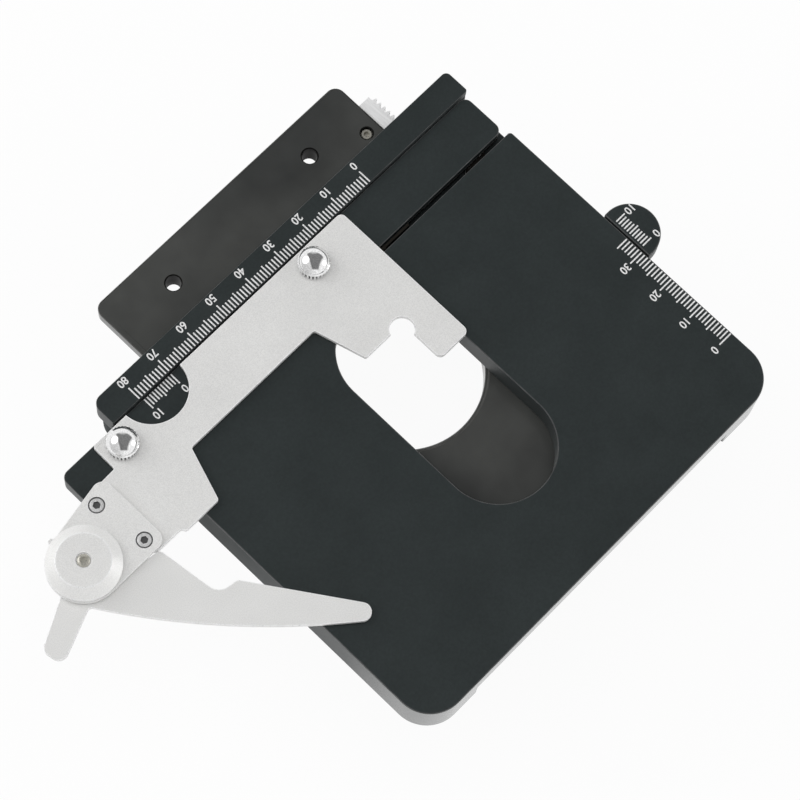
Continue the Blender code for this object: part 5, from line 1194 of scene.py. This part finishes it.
for name, one in scales.items():
    printScale(name, one)
print("graduations done")


# Camera at the photograph's place

view = {"place": (-0.19997197, -0.1914974, 0.72569785), "turn": (17.72453, -3.24072, -46.00024),
        "lens": 138.2746, "sensor": 36.0, "clip": (0.01, 20.0)}
viewTurn = [math.radians(angle) for angle in view["turn"]]
acrossView, upView, towardView = Euler(viewTurn).to_matrix().transposed()


def setCamera():
    bpy.ops.object.select_all(action="DESELECT")
    bpy.ops.object.camera_add(location=view["place"], rotation=viewTurn)
    camera = bpy.context.object
    camera.data.lens = view["lens"]
    camera.data.sensor_width = view["sensor"]
    camera.data.clip_start, camera.data.clip_end = view["clip"]
    bpy.context.scene.camera = camera


setCamera()
print("camera set")


# Studio: a pale floor, soft lamps and a white surround, placed about the view of the object

aim = Vector((0.0, -0.06, 0.0))
lamps = {"key": {"place": (-0.80, 0.42, 0.55), "size": 0.85, "power": 2.6},
         "top": {"place": (0.0, 0.32, 1.0), "size": 0.90, "power": 3.3, "mirrored": False},
         "side": {"place": (0.90, 0.10, 0.24), "size": 0.45, "power": 1.1}}
paper = {"drop": 0.4, "size": 6.0, "colour": (0.94, 0.94, 0.94, 1.0), "roughness": 0.9, "specular": 0.1,
         "glow": 0.93}
room = {"white": (1.0, 1.0, 1.0, 1.0), "level": 0.98, "leftLevel": 0.66, "left": (-0.80, -0.45, 0.40),
        "leftBand": (0.30, 0.95)}
softBox = {"dark": 0.22, "up": (-0.60, 0.97), "middle": 0.18, "halfWidth": 0.50, "flare": 0.28, "soft": 0.07,
           "above": (0.05, 0.20)}


def fromView(across, up, toward):           # a direction given as the camera sees it
    return acrossView * across + upView * up + towardView * toward


def addLamp(name, one):
    place = aim + fromView(*one["place"])
    bpy.ops.object.select_all(action="DESELECT")
    bpy.ops.object.light_add(type="AREA", location=place)
    lamp = bpy.context.object
    lamp.name = name
    lamp.data.shape = "DISK"
    lamp.data.size = one["size"]
    lamp.data.energy = one["power"]
    lamp.visible_glossy = one.get("mirrored", True)
    lamp.rotation_euler = (place - aim).to_track_quat("Z", "Y").to_euler()


def layFloor():
    bpy.ops.object.select_all(action="DESELECT")
    height = cadLow.z - paper["drop"] * mm
    bpy.ops.mesh.primitive_plane_add(size=paper["size"], location=(0.0, 0.0, height))
    floor = bpy.context.object
    floor.name = "floor"
    made, tree, shader = startFinish("floorPaper")
    shader.inputs["Base Color"].default_value = paper["colour"]
    shader.inputs["Roughness"].default_value = paper["roughness"]
    shader.inputs["Specular IOR Level"].default_value = paper["specular"]
    glow = tree.nodes.new("ShaderNodeEmission")
    glow.inputs["Strength"].default_value = 1.0
    path = tree.nodes.new("ShaderNodeLightPath")
    seen = path.outputs["Is Camera Ray"]
    for ray in ("Is Glossy Ray", "Is Transmission Ray"):
        seen = workOut(tree, "MAXIMUM", seen, path.outputs[ray])
    mixed = tree.nodes.new("ShaderNodeMixShader")
    tree.links.new(workOut(tree, "MULTIPLY", seen, paper["glow"]), mixed.inputs["Fac"])
    tree.links.new(shader.outputs["BSDF"], mixed.inputs[1])
    tree.links.new(glow.outputs["Emission"], mixed.inputs[2])
    tree.links.new(mixed.outputs["Shader"], tree.nodes["Material Output"].inputs["Surface"])
    floor.data.materials.append(made)


def surroundLevel(tree):                    # bright all round, darker where the soft box is open
    place = tree.nodes.new("ShaderNodeTexCoord")
    direction = place.outputs["Generated"]
    soft = softBox["soft"]
    bottom, top = softBox["up"]
    up = alongAxis(tree, direction, upView)
    across = workOut(tree, "SUBTRACT", alongAxis(tree, direction, acrossView), softBox["middle"])
    across = workOut(tree, "ABSOLUTE", across, 0.0)
    reach = workOut(tree, "ADD", workOut(tree, "MULTIPLY", up, softBox["flare"]), softBox["halfWidth"])
    inside = spread(tree, workOut(tree, "SUBTRACT", reach, across), 0.0, 1.0, -soft, soft)
    started = spread(tree, up, 0.0, 1.0, bottom - soft, bottom + soft)
    ended = spread(tree, up, 1.0, 0.0, top - soft, top + soft)
    above = spread(tree, alongAxis(tree, direction, towardView), 0.0, 1.0, *softBox["above"])
    tall = workOut(tree, "MULTIPLY", ended, above)
    shade = workOut(tree, "MULTIPLY", workOut(tree, "MULTIPLY", inside, started), tall)
    away = alongAxis(tree, direction, fromView(*room["left"]))
    level = spread(tree, away, room["level"], room["leftLevel"], *room["leftBand"])
    return workOut(tree, "MULTIPLY", level, spread(tree, shade, 1.0, softBox["dark"], 0.0, 1.0))


def lightRoom():                            # the camera itself sees plain white past the floor
    world = bpy.data.worlds.new("studio")
    bpy.context.scene.world = world
    world.use_nodes = True
    tree = world.node_tree
    light = tree.nodes["Background"]
    light.inputs["Color"].default_value = room["white"]
    tree.links.new(surroundLevel(tree), light.inputs["Strength"])
    backdrop = tree.nodes.new("ShaderNodeBackground")
    backdrop.inputs["Color"].default_value = room["white"]
    backdrop.inputs["Strength"].default_value = 1.0
    path = tree.nodes.new("ShaderNodeLightPath")
    mixed = tree.nodes.new("ShaderNodeMixShader")
    tree.links.new(path.outputs["Is Camera Ray"], mixed.inputs["Fac"])
    tree.links.new(light.outputs["Background"], mixed.inputs[1])
    tree.links.new(backdrop.outputs["Background"], mixed.inputs[2])
    tree.links.new(mixed.outputs["Shader"], tree.nodes["World Output"].inputs["Surface"])


for name, one in lamps.items():
    addLamp(name + "Lamp", one)
layFloor()
lightRoom()
bpy.context.scene.view_settings.view_transform = "Standard"
print("studio lit")

bpy.context.view_layer.update()
